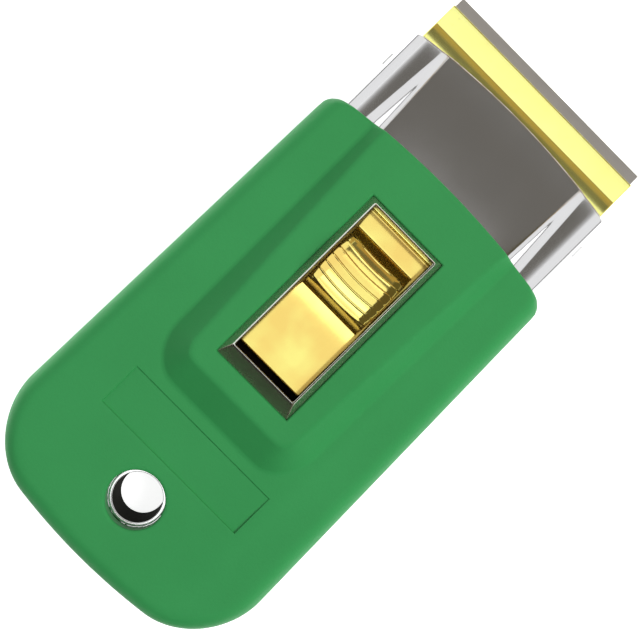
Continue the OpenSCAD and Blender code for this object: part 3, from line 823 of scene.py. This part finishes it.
def frame_rings(sizes):
    """Sections of the window frame, up its outside, over the rim and down its inside."""
    t, rim = mm(sizes.rim_sheet), mm(sizes.rim_edge)
    rear, front, side = WINDOW_LEAN
    base, sheet_top = FRAME_LO[2], FRAME_LO[2] + t
    wall_h = RIM_Z - skirt_at((WINDOW_LO[0] + WINDOW_HI[0]) / 2)

    def rect(inset, lean, z, r):
        low = (WINDOW_LO[0] + inset + rear * lean, WINDOW_LO[1] + inset + side * lean)
        high = (WINDOW_HI[0] - inset - front * lean, WINDOW_HI[1] - inset - side * lean)
        return ring_corners(low, high, r, z)

    def wall(inset, share, r):
        """Ring part of the way from the pad, which slopes, to the level rim."""
        foot = np.array(rect(inset, 0, 0.0, r))
        foot[:, 2] = skirt_at(foot[:, 0])
        return foot + share * (np.array(rect(inset, 1, RIM_Z, r)) - foot)

    def rim_ring(angle, inner):
        drop = rim * (1 - math.sin(angle))
        out = rim * (1 - math.cos(angle))
        inset = t - out if inner else out
        return wall(inset, 1 - drop / wall_h, max(WALL_CORNER * (1 - inset), RIM_CORNER))

    turns = [math.pi / 2 * i / RIM_STEPS for i in range(RIM_STEPS + 1)]
    rings = [rect(-FLANGE, 0, base, FLANGE_CORNER), rect(-FLANGE, 0, sheet_top, FLANGE_CORNER),
             rect(-SKIRT_BEND, 0, sheet_top, WALL_CORNER), rect(0, 0, sheet_top + SKIRT_BEND, WALL_CORNER)]
    rings += [wall(0, share, WALL_CORNER) for share in WALL_SHARES]
    rings += [rim_ring(a, False) for a in turns]
    rings += [rim_ring(a, True) for a in reversed(turns)]
    rings += [wall(t, share, INNER_CORNER) for share in reversed(WALL_SHARES)]
    rings += [rect(t, 0, base, INNER_CORNER)]
    return rings


def eyelet_rings(sizes, turns=128):
    """Sections of the tube that lines the hang hole, with a flange over either sheet."""
    t, lip = mm(sizes.eyelet_sheet), mm(sizes.eyelet_lip)
    edge = EYELET_HI[1] - SEAT_GAP
    wide, narrow = mm(sizes.bore_top) / 2, mm(sizes.bore_low) / 2
    top, low = SHOULDER_Z + lip, CASE_LO[2] - lip
    bend = np.linspace(0, math.pi / 2, 7)
    turn = LIP_TURN * t
    upper = [(wide + turn - turn * math.sin(a), top - turn + turn * math.cos(a)) for a in bend]
    lower = [(narrow + t - t * math.cos(a), low + t - t * math.sin(a)) for a in bend]
    bore = [(wide + (narrow - wide) * u, top - turn + (low - top + turn + t) * u)
            for u in np.linspace(0, 1, 9)[1:-1]]
    profile = [(edge, SHOULDER_Z), (edge, top - LIP_BREAK), (edge - LIP_BREAK, top), *upper, *bore, *lower]
    profile += [(narrow + 2 * t, low), (narrow + 2 * t, CASE_LO[2]), (narrow + t, CASE_LO[2]),
                (wide + turn, SHOULDER_Z)]
    angles = np.arange(turns) * 2 * math.pi / turns
    return [[(HOLE_X + r * math.cos(a), r * math.sin(a), z) for a in angles] for r, z in profile]


def soft_min(a, b, k):
    """Lesser of two heights with the crease between them rounded over."""
    return 0.5 * (a + b - np.sqrt((a - b) ** 2 + k * k))


def ease(u):
    """Share that starts and ends level."""
    u = np.clip(u, 0, 1)
    return u * u * (3 - 2 * u)


def bump_height(x, y, inset, bump_h):
    """Height of the smooth thumb bump over the latch plate."""
    crown_mid, crown_half = (CROWN_X[0] + CROWN_X[1]) / 2, (CROWN_X[1] - CROWN_X[0]) / 2
    crown = bump_h - inset - CROWN_RISE * ((x - crown_mid) / crown_half) ** 2
    rear = (bump_h - CROWN_RISE) * (x - BUMP_X[0] - inset) / (CROWN_X[0] - BUMP_X[0])
    front = (bump_h - CROWN_RISE) * (BUMP_X[1] - inset - x) / (BUMP_X[1] - CROWN_X[1])
    half = BUMP_HALF - inset
    over = np.clip((np.abs(y) - half) / BUMP_SHOULDER + 1, 0, 1)
    flank = (half - np.abs(y)) * FLANK_RATIO
    top = soft_min(soft_min(rear, front, SLOPE_SOFT), crown - SHOULDER_DROP * over ** 2, CROWN_SOFT)
    top = soft_min(top, flank, FLANK_SOFT)
    rise = PLATE_RISE * np.clip((x - PLATE_RISE_X) / (BUMP_X[0] - PLATE_RISE_X), 0, 1) ** 2
    rise = rise * (1 - ease((x - PLATE_FADE_X) / PLATE_FADE))
    return -soft_min(-top, -rise, FOOT_SOFT) - FOOT_SINK


def latch_field(sizes):
    """Distance field of the thumb latch: a sheet that follows the bump, without its ribs."""
    t = mm(sizes.brass_sheet)
    bump_h = RIM_Z - LATCH_TOP - mm(sizes.rib_height)
    step = 0.02

    def sheet_height(x, y, inset):
        return LATCH_TOP - inset + bump_height(x, y, inset, bump_h + inset)

    def under(x, y, z, inset):
        h = sheet_height(x, y, inset)
        hx = (sheet_height(x + step, y, inset) - h) / step
        hy = (sheet_height(x, y + step, inset) - h) / step
        return (z - h) / np.sqrt(1 + hx * hx + hy * hy)

    def field(x, y, z):
        sheet = np.maximum(under(x, y, z, 0.0), -under(x, y, z, t))
        tail = round_both(LATCH_TAIL_X - x, np.abs(y) - LATCH_HALF, LATCH_TIP)
        nose = np.hypot(x - (LATCH_HI[0] - t / 2), z - LATCH_TOP + t / 2) - t / 2
        plate = round_both(sheet, np.maximum(tail, x - LATCH_HI[0] + t / 2), CUT_EDGE)
        return np.minimum(plate, np.maximum(nose, np.abs(y) - LATCH_HALF))

    return field


def rib_places(sizes):
    """Middle of the first rib on the crown and the step from rib to rib."""
    w = mm(sizes.rib_width)
    return CROWN_X[0] + w / 2, (CROWN_X[1] - CROWN_X[0] - w) / (sizes.rib_count - 1)


def latch_lines():
    """Grid lines for the latch, closest together across its ribs."""
    first, last = CROWN_X[0] - 0.2, CROWN_X[1] + 0.5
    xs = grid_lines(LATCH_TAIL_X - 0.3, LATCH_HI[0] + 0.3, 0.6, [
        around(LATCH_TAIL_X, 0.15, 0.6, 0.1), (BUMP_X[0] - 1.4, first, 0.12), (first, last, 0.065),
        (last, BUMP_X[1] + 1.2, 0.12), around(LATCH_HI[0], 0.7, 0.15, 0.095)])
    ys = grid_lines(-LATCH_HALF - 0.3, LATCH_HALF + 0.3, 0.3, mirrored([
        around(LATCH_HALF, 1.5, 0.15, 0.08), around(LATCH_HALF, 3.9, -1.5, 0.2)]))
    zs = grid_lines(LATCH_TOP - 0.95, RIM_Z + 0.35, 0.16, [around(LATCH_TOP, 0.75, 0.15, 0.1)])
    return xs, ys, zs


def jaw_field(sizes):
    """Distance field of the upper jaw: bridge, neck and creased lip, with its two rivet holes."""
    t = mm(sizes.brass_sheet)
    low = LATCH_TOP - t
    start = CREASE_X - JOGGLE
    hinge_x = LATCH_HI[0] - t / 2
    step = 0.01

    def height(x):
        dip = np.clip((x - start) / JOGGLE, 0, 1)
        rear = np.clip((x - JAW_REAR_X + BRIDGE_RUN) / BRIDGE_RUN, 0, 1)
        hidden = (JAW_RISE - JAW_DIP) * ease((x - start) / HIDDEN_RUN + 1)
        return low + (LIP_Z + JAW_RISE - low) * ease(rear) - JAW_DIP * dip * dip - hidden

    def field(x, y, z):
        slope = (height(x + step) - height(x - step)) / (2 * step)
        sheet = np.abs(z - height(x) - t / 2) / np.sqrt(1 + slope ** 2) - t / 2
        jaw = brick(x, y, (JAW_SHOULDER_X, -JAW_HI[1]), (JAW_HI[0], JAW_HI[1]))
        neck = brick(x, y, (JAW_REAR_X, -NECK_HALF), (JAW_HI[0] - JAW_LAP, NECK_HALF))
        bridge = brick(x, y, (hinge_x, -BRIDGE_HALF), (JAW_HI[0] - JAW_LAP, BRIDGE_HALF))
        plan = np.minimum(np.minimum(jaw, neck), bridge)
        hole = np.hypot(x - RIVET_X, np.abs(y) - RIVET_Y) - RIVET_R - SEAT_GAP
        seam = np.hypot(x - hinge_x, z - low - t / 2) - t / 2 - SEAT_GAP
        return round_both(sheet, np.maximum(np.maximum(plan, -hole), -seam), CUT_EDGE)

    return field


def jaw_lines():
    """Grid lines for the upper jaw, close together at its ends, rivet holes and crease."""
    rear, front, half = snapped(LATCH_HI[0]), snapped(JAW_HI[0]), snapped(JAW_HI[1])
    xs = grid_lines(rear - 0.6, front + 0.3, 0.55, [
        around(rear, 0.4, 0.4, 0.1), around(JAW_REAR_X, 0.25, 0.25, 0.12), around(RIVET_X, 1.25, 1.25, 0.16),
        around(CREASE_X, 6.3, -0.3, 0.15), around(CREASE_X, 0.3, 0.3, 0.06), around(front, 0.3, 0.2, 0.08)])
    ys = grid_lines(-half - 0.35, half + 0.35, 1.0, mirrored([
        around(BRIDGE_HALF, 0.2, 0.2, 0.1), around(RIVET_Y, 1.3, 1.3, 0.17),
        around(NECK_HALF, 0.2, 0.2, 0.1), around(half, 0.25, 0.15, 0.08)]))
    zs = grid_lines(snapped(LIP_Z) - 0.35, LATCH_TOP + 0.3, 0.2, [around(LIP_Z, 0.1, 0.7, 0.1)])
    return xs, ys, zs


class Pattern(Finish):
    """A Geometry Nodes tree under construction, with named inputs."""

    def __init__(self, name, inputs):
        self.tree = bpy.data.node_groups.new(name, "GeometryNodeTree")
        face = self.tree.interface
        face.new_socket("Geometry", in_out="INPUT", socket_type="NodeSocketGeometry")
        self.sockets = {key: face.new_socket(key, in_out="INPUT", socket_type=kind)
                        for key, kind in inputs.items()}
        face.new_socket("Geometry", in_out="OUTPUT", socket_type="NodeSocketGeometry")
        self.start = self.tree.nodes.new("NodeGroupInput")

    def given(self, name):
        return Wire(self, self.start.outputs[name])

    def close(self, geometry):
        """Ends the tree in real geometry that carries its material."""
        real = self.node("GeometryNodeRealizeInstances", None, {"Geometry": geometry})
        dressed = self.node("GeometryNodeSetMaterial", None,
                            {"Geometry": real, "Material": self.given("Material")})
        self.node("NodeGroupOutput", None, {"Geometry": dressed})

    def applied(self, obj, values):
        """Runs the tree on an object and leaves the result as its plain mesh."""
        modifier = obj.modifiers.new(self.tree.name, "NODES")
        modifier.node_group = self.tree
        for name, value in values.items():
            modifier[self.sockets[name].identifier] = value
        bpy.context.view_layer.update()
        ready = obj.evaluated_get(bpy.context.evaluated_depsgraph_get())
        mesh = bpy.data.meshes.new_from_object(ready)
        obj.modifiers.remove(modifier)
        mesh.name = obj.name
        obj.data = mesh


def rib_pattern():
    """Presses a row of narrow rounded ribs into the crown of the latch."""
    tree = Pattern("latch_ribs", {"Rib pitch": "NodeSocketFloat", "Rib width": "NodeSocketFloat",
                                  "Rib height": "NodeSocketFloat", "Material": "NodeSocketMaterial"})
    along = tree.node("GeometryNodeInputNamedAttribute", {"data_type": "FLOAT"}, {"Name": "rib_count"})
    share = tree.node("GeometryNodeInputNamedAttribute", {"data_type": "FLOAT"}, {"Name": "rib_share"})
    nearest = along.sum_of("ROUND", along)
    across = (along - nearest) * tree.given("Rib pitch") * 2.0 / tree.given("Rib width")
    lift = (1.0 - across * across).larger(0.0) * tree.given("Rib height") * share
    offset = tree.node("ShaderNodeVectorMath", {"operation": "SCALE"},
                       {"Vector": tree.node("GeometryNodeInputNormal"), "Scale": lift})
    tree.close(tree.node("GeometryNodeSetPosition", None,
                         {"Geometry": tree.given("Geometry"), "Offset": offset}))
    return tree


def rivet_pattern():
    """Stands shouldered rivets in a row across the jaws."""
    tree = Pattern("jaw_rivet_row", {
        "Rivet count": "NodeSocketInt", "First": "NodeSocketVector", "Step": "NodeSocketVector",
        "Shank radius": "NodeSocketFloat", "Shoulder radius": "NodeSocketFloat",
        "Material": "NodeSocketMaterial"})
    shank, shoulder = tree.given("Shank radius"), tree.given("Shoulder radius")
    lengths = []
    for radius, top, low, high in RIVET_STEPS:
        wide = shoulder if radius == "shoulder" else shank
        drum = tree.node("GeometryNodeMeshCone", {"fill_type": "NGON"},
                         {"Vertices": RIVET_SIDES, "Radius Top": wide * top, "Radius Bottom": wide,
                          "Depth": (high - low) * MM}, out="Mesh")
        lengths.append(tree.node("GeometryNodeTransform", None,
                                 {"Geometry": drum, "Translation": (0.0, 0.0, low * MM)}))
    join = tree.tree.nodes.new("GeometryNodeJoinGeometry")
    for length in lengths:
        tree.tree.links.new(length.socket, join.inputs[0])
    row = tree.node("GeometryNodeMeshLine", {"mode": "OFFSET"},
                    {"Count": tree.given("Rivet count"), "Start Location": tree.given("First"),
                     "Offset": tree.given("Step")})
    tree.close(tree.node("GeometryNodeInstanceOnPoints", None,
                         {"Points": row, "Instance": Wire(tree, join.outputs[0])}))
    return tree


def sheet_mesh(name, points, faces):
    mesh = bpy.data.meshes.new(name)
    mesh.from_pydata(points, [], faces)
    return mesh


def plane_mesh(name, corners):
    return sheet_mesh(name, corners, [range(len(corners))])


def screen_mesh(name, start, stop, low, high):
    """Upright screen that bends round the tool from one turn to another."""
    turns = np.radians(np.linspace(start, stop, 25))
    points = [(SCREEN_R * math.cos(a), SCREEN_R * math.sin(a), z) for z in (low, high) for a in turns]
    n = len(turns)
    return sheet_mesh(name, points, [(i, i + 1, n + i + 1, n + i) for i in range(n - 1)])


def skinned(name, field, lines, material):
    """Object with the skin of a distance field on its grid lines."""
    return shown(name, mesh_of(name, *skin_of(field, *lines)), material)


def lofted(name, rings, material):
    """Object with the skin over a loft's rings."""
    return shown(name, mesh_of(name, *loft(rings), weighted=True), material)


def shown(name, mesh, material):
    """Links a finished mesh as an object at the origin."""
    mesh.materials.clear()
    mesh.materials.append(material)
    obj = bpy.data.objects.new(name, mesh)
    bpy.context.scene.collection.objects.link(obj)
    return obj


def softbox(name, spot, size, brightness):
    """Lamp whose face has a given brightness, turned to the tool; the metal mirrors the cards instead."""
    lamp = bpy.data.lights.new(name, "AREA")
    lamp.shape = "RECTANGLE"
    lamp.size, lamp.size_y = size
    lamp.energy = brightness * math.pi * size[0] * size[1]
    obj = bpy.data.objects.new(name, lamp)
    bpy.context.scene.collection.objects.link(obj)
    obj.location = spot
    obj.rotation_mode = "QUATERNION"
    obj.rotation_quaternion = (Vector(LAMP_TARGET) - Vector(spot)).to_track_quat("-Z", "Y")
    obj.visible_glossy = False


def photo_camera():
    """Camera above the tool, turned so that the blade points to the upper right."""
    tilt = Matrix.Rotation(CAMERA_TILT.length, 3, CAMERA_TILT.normalized())
    level_right, level_up, back = tilt.row[0], tilt.row[1], tilt.row[2]
    c, s = math.cos(CAMERA_TURN), math.sin(CAMERA_TURN)
    right = c * level_right - s * level_up
    up = s * level_right + c * level_up
    camera = bpy.data.objects.new("photo_camera", bpy.data.cameras.new("photo_camera"))
    camera.data.sensor_width = 36.0
    camera.data.lens = CAMERA_LENS
    camera.data.clip_start, camera.data.clip_end = 0.005, 20.0
    turned = Matrix((right, up, back)).transposed().to_4x4()
    camera.matrix_world = Matrix.Translation(CAMERA_SPOT) @ turned
    bpy.context.scene.collection.objects.link(camera)
    bpy.context.scene.camera = camera


def length_prop(name, text, millimetres):
    return FloatProperty(name=name, description=text, default=millimetres * MM, min=0.0,
                         precision=5, unit="LENGTH", subtype="DISTANCE")


def colour_prop(name, text, tone):
    return FloatVectorProperty(name=name, description=text, default=tone, size=3, min=0.0, max=1.0,
                               subtype="COLOR")


class ScraperSizes(bpy.types.PropertyGroup):
    """Sizes of the finished pieces."""
    grip_corner: length_prop("Grip corner", "Radius of the rear corners, seen from above", 11.5)
    grip_edge: length_prop("Grip edge", "Rounding of the long edges of the grip", 3.0)
    grip_taper: length_prop("Grip taper", "How much each side draws in towards the front", 1.6)
    front_edge: length_prop("Front edge", "Rounding of the front edge of the grip", 0.45)
    pad_round: length_prop("Pad edge", "Rounding of the upper edges of the raised pad", 0.22)
    pad_blend: length_prop("Pad foot", "Fillet at the foot of the raised pad", 0.22)
    window_round: length_prop("Window edge", "Rounding of the grip round the window", 0.35)
    hole_round: length_prop("Hang hole edge", "Rounding of the grip at the hang hole", 0.3)
    label_length: length_prop("Recess length", "Plain recess along the grip", 7.2)
    label_width: length_prop("Recess width", "Plain recess across the grip", 27.6)
    label_depth: length_prop("Recess depth", "Depth of the plain recess", 0.4)
    sheet: length_prop("Plated sheet", "Thickness of the case", 0.6)
    rim_sheet: length_prop("Frame sheet", "Thickness of the window frame", 0.34)
    case_edge: length_prop("Case edge", "Rounding of the long edges of the case", 2.2)
    panel_edge: length_prop("Panel edge", "Rounding of the upper edges of the raised panel", 0.35)
    panel_foot: length_prop("Panel foot", "Fillet at the foot of the raised panel", 0.7)
    rim_edge: length_prop("Rim edge", "Rounding of the window frame's rim", 0.2)
    eyelet_sheet: length_prop("Eyelet sheet", "Thickness of the tube in the hang hole", 0.3)
    eyelet_lip: length_prop("Eyelet lip", "Height of that tube's flanges over the case", 0.25)
    bore_top: length_prop("Bore above", "Width of the hang hole at its upper end", 7.7)
    bore_low: length_prop("Bore below", "Width of the hang hole at its lower end", 6.9)
    brass_sheet: length_prop("Brass sheet", "Thickness of the jaw and the latch", 0.6)
    rib_height: length_prop("Rib height", "Height of the ribs on the thumb latch", 0.08)
    rib_width: length_prop("Rib width", "Width of the ribs on the thumb latch", 0.3)
    rib_count: IntProperty(name="Ribs", description="Number of ribs on the thumb latch", default=7,
                           min=1)


class ScraperLooks(bpy.types.PropertyGroup):
    """Colours of the finishes and the stage."""
    grip_colour: colour_prop("Grip", "Moulded green", (0.032, 0.320, 0.082))
    plate_colour: colour_prop("Plating", "Bright plated sheet", (0.78, 0.78, 0.79))
    # painted shade: the frame's walls get this darker plating tone for their shade
    frame_shaded_colour: colour_prop("Frame", "Dull plated window frame", (0.50, 0.43, 0.36))
    latch_colour: colour_prop("Latch", "Polished brass", (1.0, 0.92, 0.26))
    latch_shade: colour_prop("Latch shade", "Deeper patches of the polished brass", (0.94, 0.68, 0.18))
    jaw_colour: colour_prop("Jaws", "Satin brass", (1.0, 1.0, 0.34))
    jaw_shade: colour_prop("Jaws shade", "Deeper patches of the satin brass", (0.98, 0.93, 0.29))
    blade_colour: colour_prop("Blade", "Ground steel", (0.57, 0.57, 0.57))
    card_tone: colour_prop("Dark card", "Card that the flat plated faces mirror", (0.172, 0.161, 0.143))
    floor_tone: FloatProperty(name="Floor", description="Whiteness of the floor", default=0.8, min=0.0,
                              max=1.0, subtype="FACTOR")


class PieceOperator:
    """What the operators of the pieces share."""
    bl_options = {"REGISTER", "UNDO"}

    def execute(self, context):
        self.make(context.scene.scraper_sizes, context.scene.scraper_looks)
        return {"FINISHED"}

    @staticmethod
    def settle(obj, body, slot, *nodes):
        """Hangs a finished piece on its body in place of the frame's nodes."""
        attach(obj, body)
        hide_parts(*nodes)
        if not len(obj.data.polygons):
            raise RuntimeError(f"{obj.name} came out empty")

    @staticmethod
    def dress(node, material):
        """Gives a frame node its finish."""
        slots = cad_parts[node].material_slots
        if not slots:
            raise RuntimeError(f"{node} has no material slot")
        for slot in slots:
            slot.material = material


class SCRAPER_OT_grip(PieceOperator, bpy.types.Operator):
    """Mould the green grip with its raised pad, window, plain recess and hang hole"""
    bl_idname = "scraper.grip"
    bl_label = "Grip"

    def make(self, sizes, looks):
        grip = skinned("grip", grip_field(sizes), grip_lines(sizes), moulded_green(looks))
        self.settle(grip, "handle", "grip", "grip_sleeve")


class SCRAPER_OT_case(PieceOperator, bpy.types.Operator):
    """Press the plated case: upper shell with its ramped panel, and the floor with its lugs"""
    bl_idname = "scraper.case"
    bl_label = "Case"

    def make(self, sizes, looks):
        plate = plated_steel("case_plating", looks.plate_colour, 0.11, 0.09)
        shell = skinned("case_shell", case_top_field(sizes), case_top_lines(), plate)
        self.settle(shell, "handle", "case", "case_top")
        self.dress("case_bottom", shaded_inside(looks))


class SCRAPER_OT_window(PieceOperator, bpy.types.Operator):
    """Fold the leaning window frame and turn the tube of the hang hole"""
    bl_idname = "scraper.window"
    bl_label = "Window Frame and Eyelet"

    def make(self, sizes, looks):
        surround = lofted("window_surround", frame_rings(sizes), frame_plating(looks))
        surround.visible_shadow = False
        self.settle(surround, "handle", "frame", "window_frame")
        eyelet = lofted("eyelet", eyelet_rings(sizes), dark_bore(looks))
        self.settle(eyelet, "handle", "frame", "hang_eyelet")


class SCRAPER_OT_carrier(PieceOperator, bpy.types.Operator):
    """Bend the brass upper jaw and set the rivets on the carrier base"""
    bl_idname = "scraper.carrier"
    bl_label = "Carrier"

    def make(self, sizes, looks):
        satin = brass("satin_brass", looks.jaw_colour, looks.jaw_shade, 0.14, "y", 0.01)
        jaw = skinned("jaw_plate", jaw_field(sizes), jaw_lines(), satin)
        self.settle(jaw, "carrier", "carrier", "upper_jaw")
        self.dress("carrier_base", satin)
        metal = plated_steel("rivet_plating", looks.plate_colour, 0.3, 0.2)
        rivets = shown("rivet_pair", bpy.data.meshes.new("rivet_pair"), metal)
        rivet_pattern().applied(rivets, {
            "Rivet count": 2, "First": (RIVET_X * MM, -RIVET_Y * MM, 0.0),
            "Step": (0.0, 2 * RIVET_Y * MM, 0.0), "Shank radius": RIVET_R * MM,
            "Shoulder radius": RIVET_SHOULDER_R * MM, "Material": metal})
        self.settle(rivets, "carrier", "rivet", "jaw_rivets")


class SCRAPER_OT_blade(PieceOperator, bpy.types.Operator):
    """Finish the razor blade and its folded spine"""
    bl_idname = "scraper.blade"
    bl_label = "Blade"

    def make(self, sizes, looks):
        self.dress("razor_blade", ground_steel(looks))
        self.dress("blade_spine", plated_steel("spine_steel", looks.plate_colour, 0.32, 0.25))


class SCRAPER_OT_latch(PieceOperator, bpy.types.Operator):
    """Press the brass thumb latch and its ribs"""
    bl_idname = "scraper.latch"
    bl_label = "Thumb Latch"

    def make(self, sizes, looks):
        metal = brass("polished_brass", looks.latch_colour, looks.latch_shade, 0.1, "x", 0.01)
        points, faces = skin_of(latch_field(sizes), *latch_lines())
        mesh = mesh_of("latch_plate", points, faces)
        first, pitch = rib_places(sizes)
        arch = RIB_ARCH * (points[:, 1] / BUMP_HALF) ** 2
        self.mark(mesh, "rib_count", (points[:, 0] - arch - first) / pitch)
        self.mark(mesh, "rib_share", self.rib_share(mesh, points, arch))
        latch = shown("latch_plate", mesh, metal)
        rib_pattern().applied(latch, {"Rib pitch": pitch * MM, "Rib width": sizes.rib_width,
                                      "Rib height": sizes.rib_height, "Material": metal})
        for name in ("rib_count", "rib_share"):
            latch.data.attributes.remove(latch.data.attributes[name])
        self.settle(latch, "latch", "latch", "thumb_latch")

    @staticmethod
    def rib_share(mesh, points, arch):
        """How strongly the ribs are pressed at each point: outside, on the crown between its sides."""
        upwards = np.array([v.normal.z for v in mesh.vertices])
        x, y = points[:, 0] - arch, np.abs(points[:, 1])
        on_crown = ease((x - CROWN_X[0]) / RIB_FADE + 1) * ease((CROWN_X[1] - x) / RIB_FADE + 1)
        return ease(upwards / RIB_STEEP) * on_crown * ease((BUMP_HALF - RIB_STOP - y) / RIB_RUN)

    @staticmethod
    def mark(mesh, name, values):
        mesh.attributes.new(name, "FLOAT", "POINT").data.foreach_set("value", values.astype(np.float32))


class SCRAPER_OT_stage(PieceOperator, bpy.types.Operator):
    """Set the white floor, the lamps, the cards that the metal mirrors and the camera"""
    bl_idname = "scraper.stage"
    bl_label = "Stage"

    def make(self, sizes, looks):
        scene = bpy.context.scene
        scene.view_settings.view_transform = "Standard"
        corners = [(FLOOR_HALF * x, FLOOR_HALF * y, 0.0) for x, y in ((-1, -1), (1, -1), (1, 1), (-1, 1))]
        floor = shown("floor", plane_mesh("floor", corners), white_sweep(looks))
        floor.location.z = -FLOOR_DROP
        cards = []
        for name, tone, (x0, y0, z0), (x1, y1, z1) in CARDS:
            corners = [(x0, y0, z0), (x0, y1, z1), (x1, y1, z1), (x1, y0, z0)]
            paint = studio_card(name, tone or looks.card_tone, SOFT_CARDS.get(name))
            cards.append(shown(name, plane_mesh(name, corners), paint))
        for name, (tone, *reach) in SCREENS.items():
            cards.append(shown(name, screen_mesh(name, *reach), studio_card(name, tone)))
        for card in cards:
            card.visible_camera = False
            card.visible_shadow = False
            card.visible_diffuse = False
        for name, spot, size, brightness in SOFTBOXES:
            softbox(name, spot, size, brightness)
        sky = Finish(scene.world or bpy.data.worlds.new("studio"))
        scene.world = sky.owner
        seen = sky.seen_as_background()
        white = {"Color": (1.0, 1.0, 1.0, 1.0), "Strength": SKY + (1.0 - SKY) * seen}
        sky.closed(sky.node("ShaderNodeBackground", None, white), "World")
        photo_camera()


class SCRAPER_PT_pieces(bpy.types.Panel):
    """Lists the pieces of the scraper"""
    bl_idname = "SCRAPER_PT_pieces"
    bl_label = "Pocket Blade Scraper"
    bl_space_type = "VIEW_3D"
    bl_region_type = "UI"
    bl_category = "Scraper"

    def draw(self, context):
        for group in (context.scene.scraper_sizes, context.scene.scraper_looks):
            box = self.layout.box()
            for name in group.__annotations__:
                box.prop(group, name)
        for piece in PIECES:
            self.layout.operator(piece.bl_idname)


PIECES = (SCRAPER_OT_stage, SCRAPER_OT_grip, SCRAPER_OT_case, SCRAPER_OT_window, SCRAPER_OT_carrier,
          SCRAPER_OT_blade, SCRAPER_OT_latch)
CLASSES = (ScraperSizes, ScraperLooks, *PIECES, SCRAPER_PT_pieces)


def register():
    for item in CLASSES:
        bpy.utils.register_class(item)
    bpy.types.Scene.scraper_sizes = PointerProperty(type=ScraperSizes)
    bpy.types.Scene.scraper_looks = PointerProperty(type=ScraperLooks)


def unregister():
    del bpy.types.Scene.scraper_looks
    del bpy.types.Scene.scraper_sizes
    for item in reversed(CLASSES):
        bpy.utils.unregister_class(item)


def main():
    register()
    for piece in PIECES:
        group, name = piece.bl_idname.split(".")
        getattr(getattr(bpy.ops, group), name)()


if __name__ == "__main__":
    main()
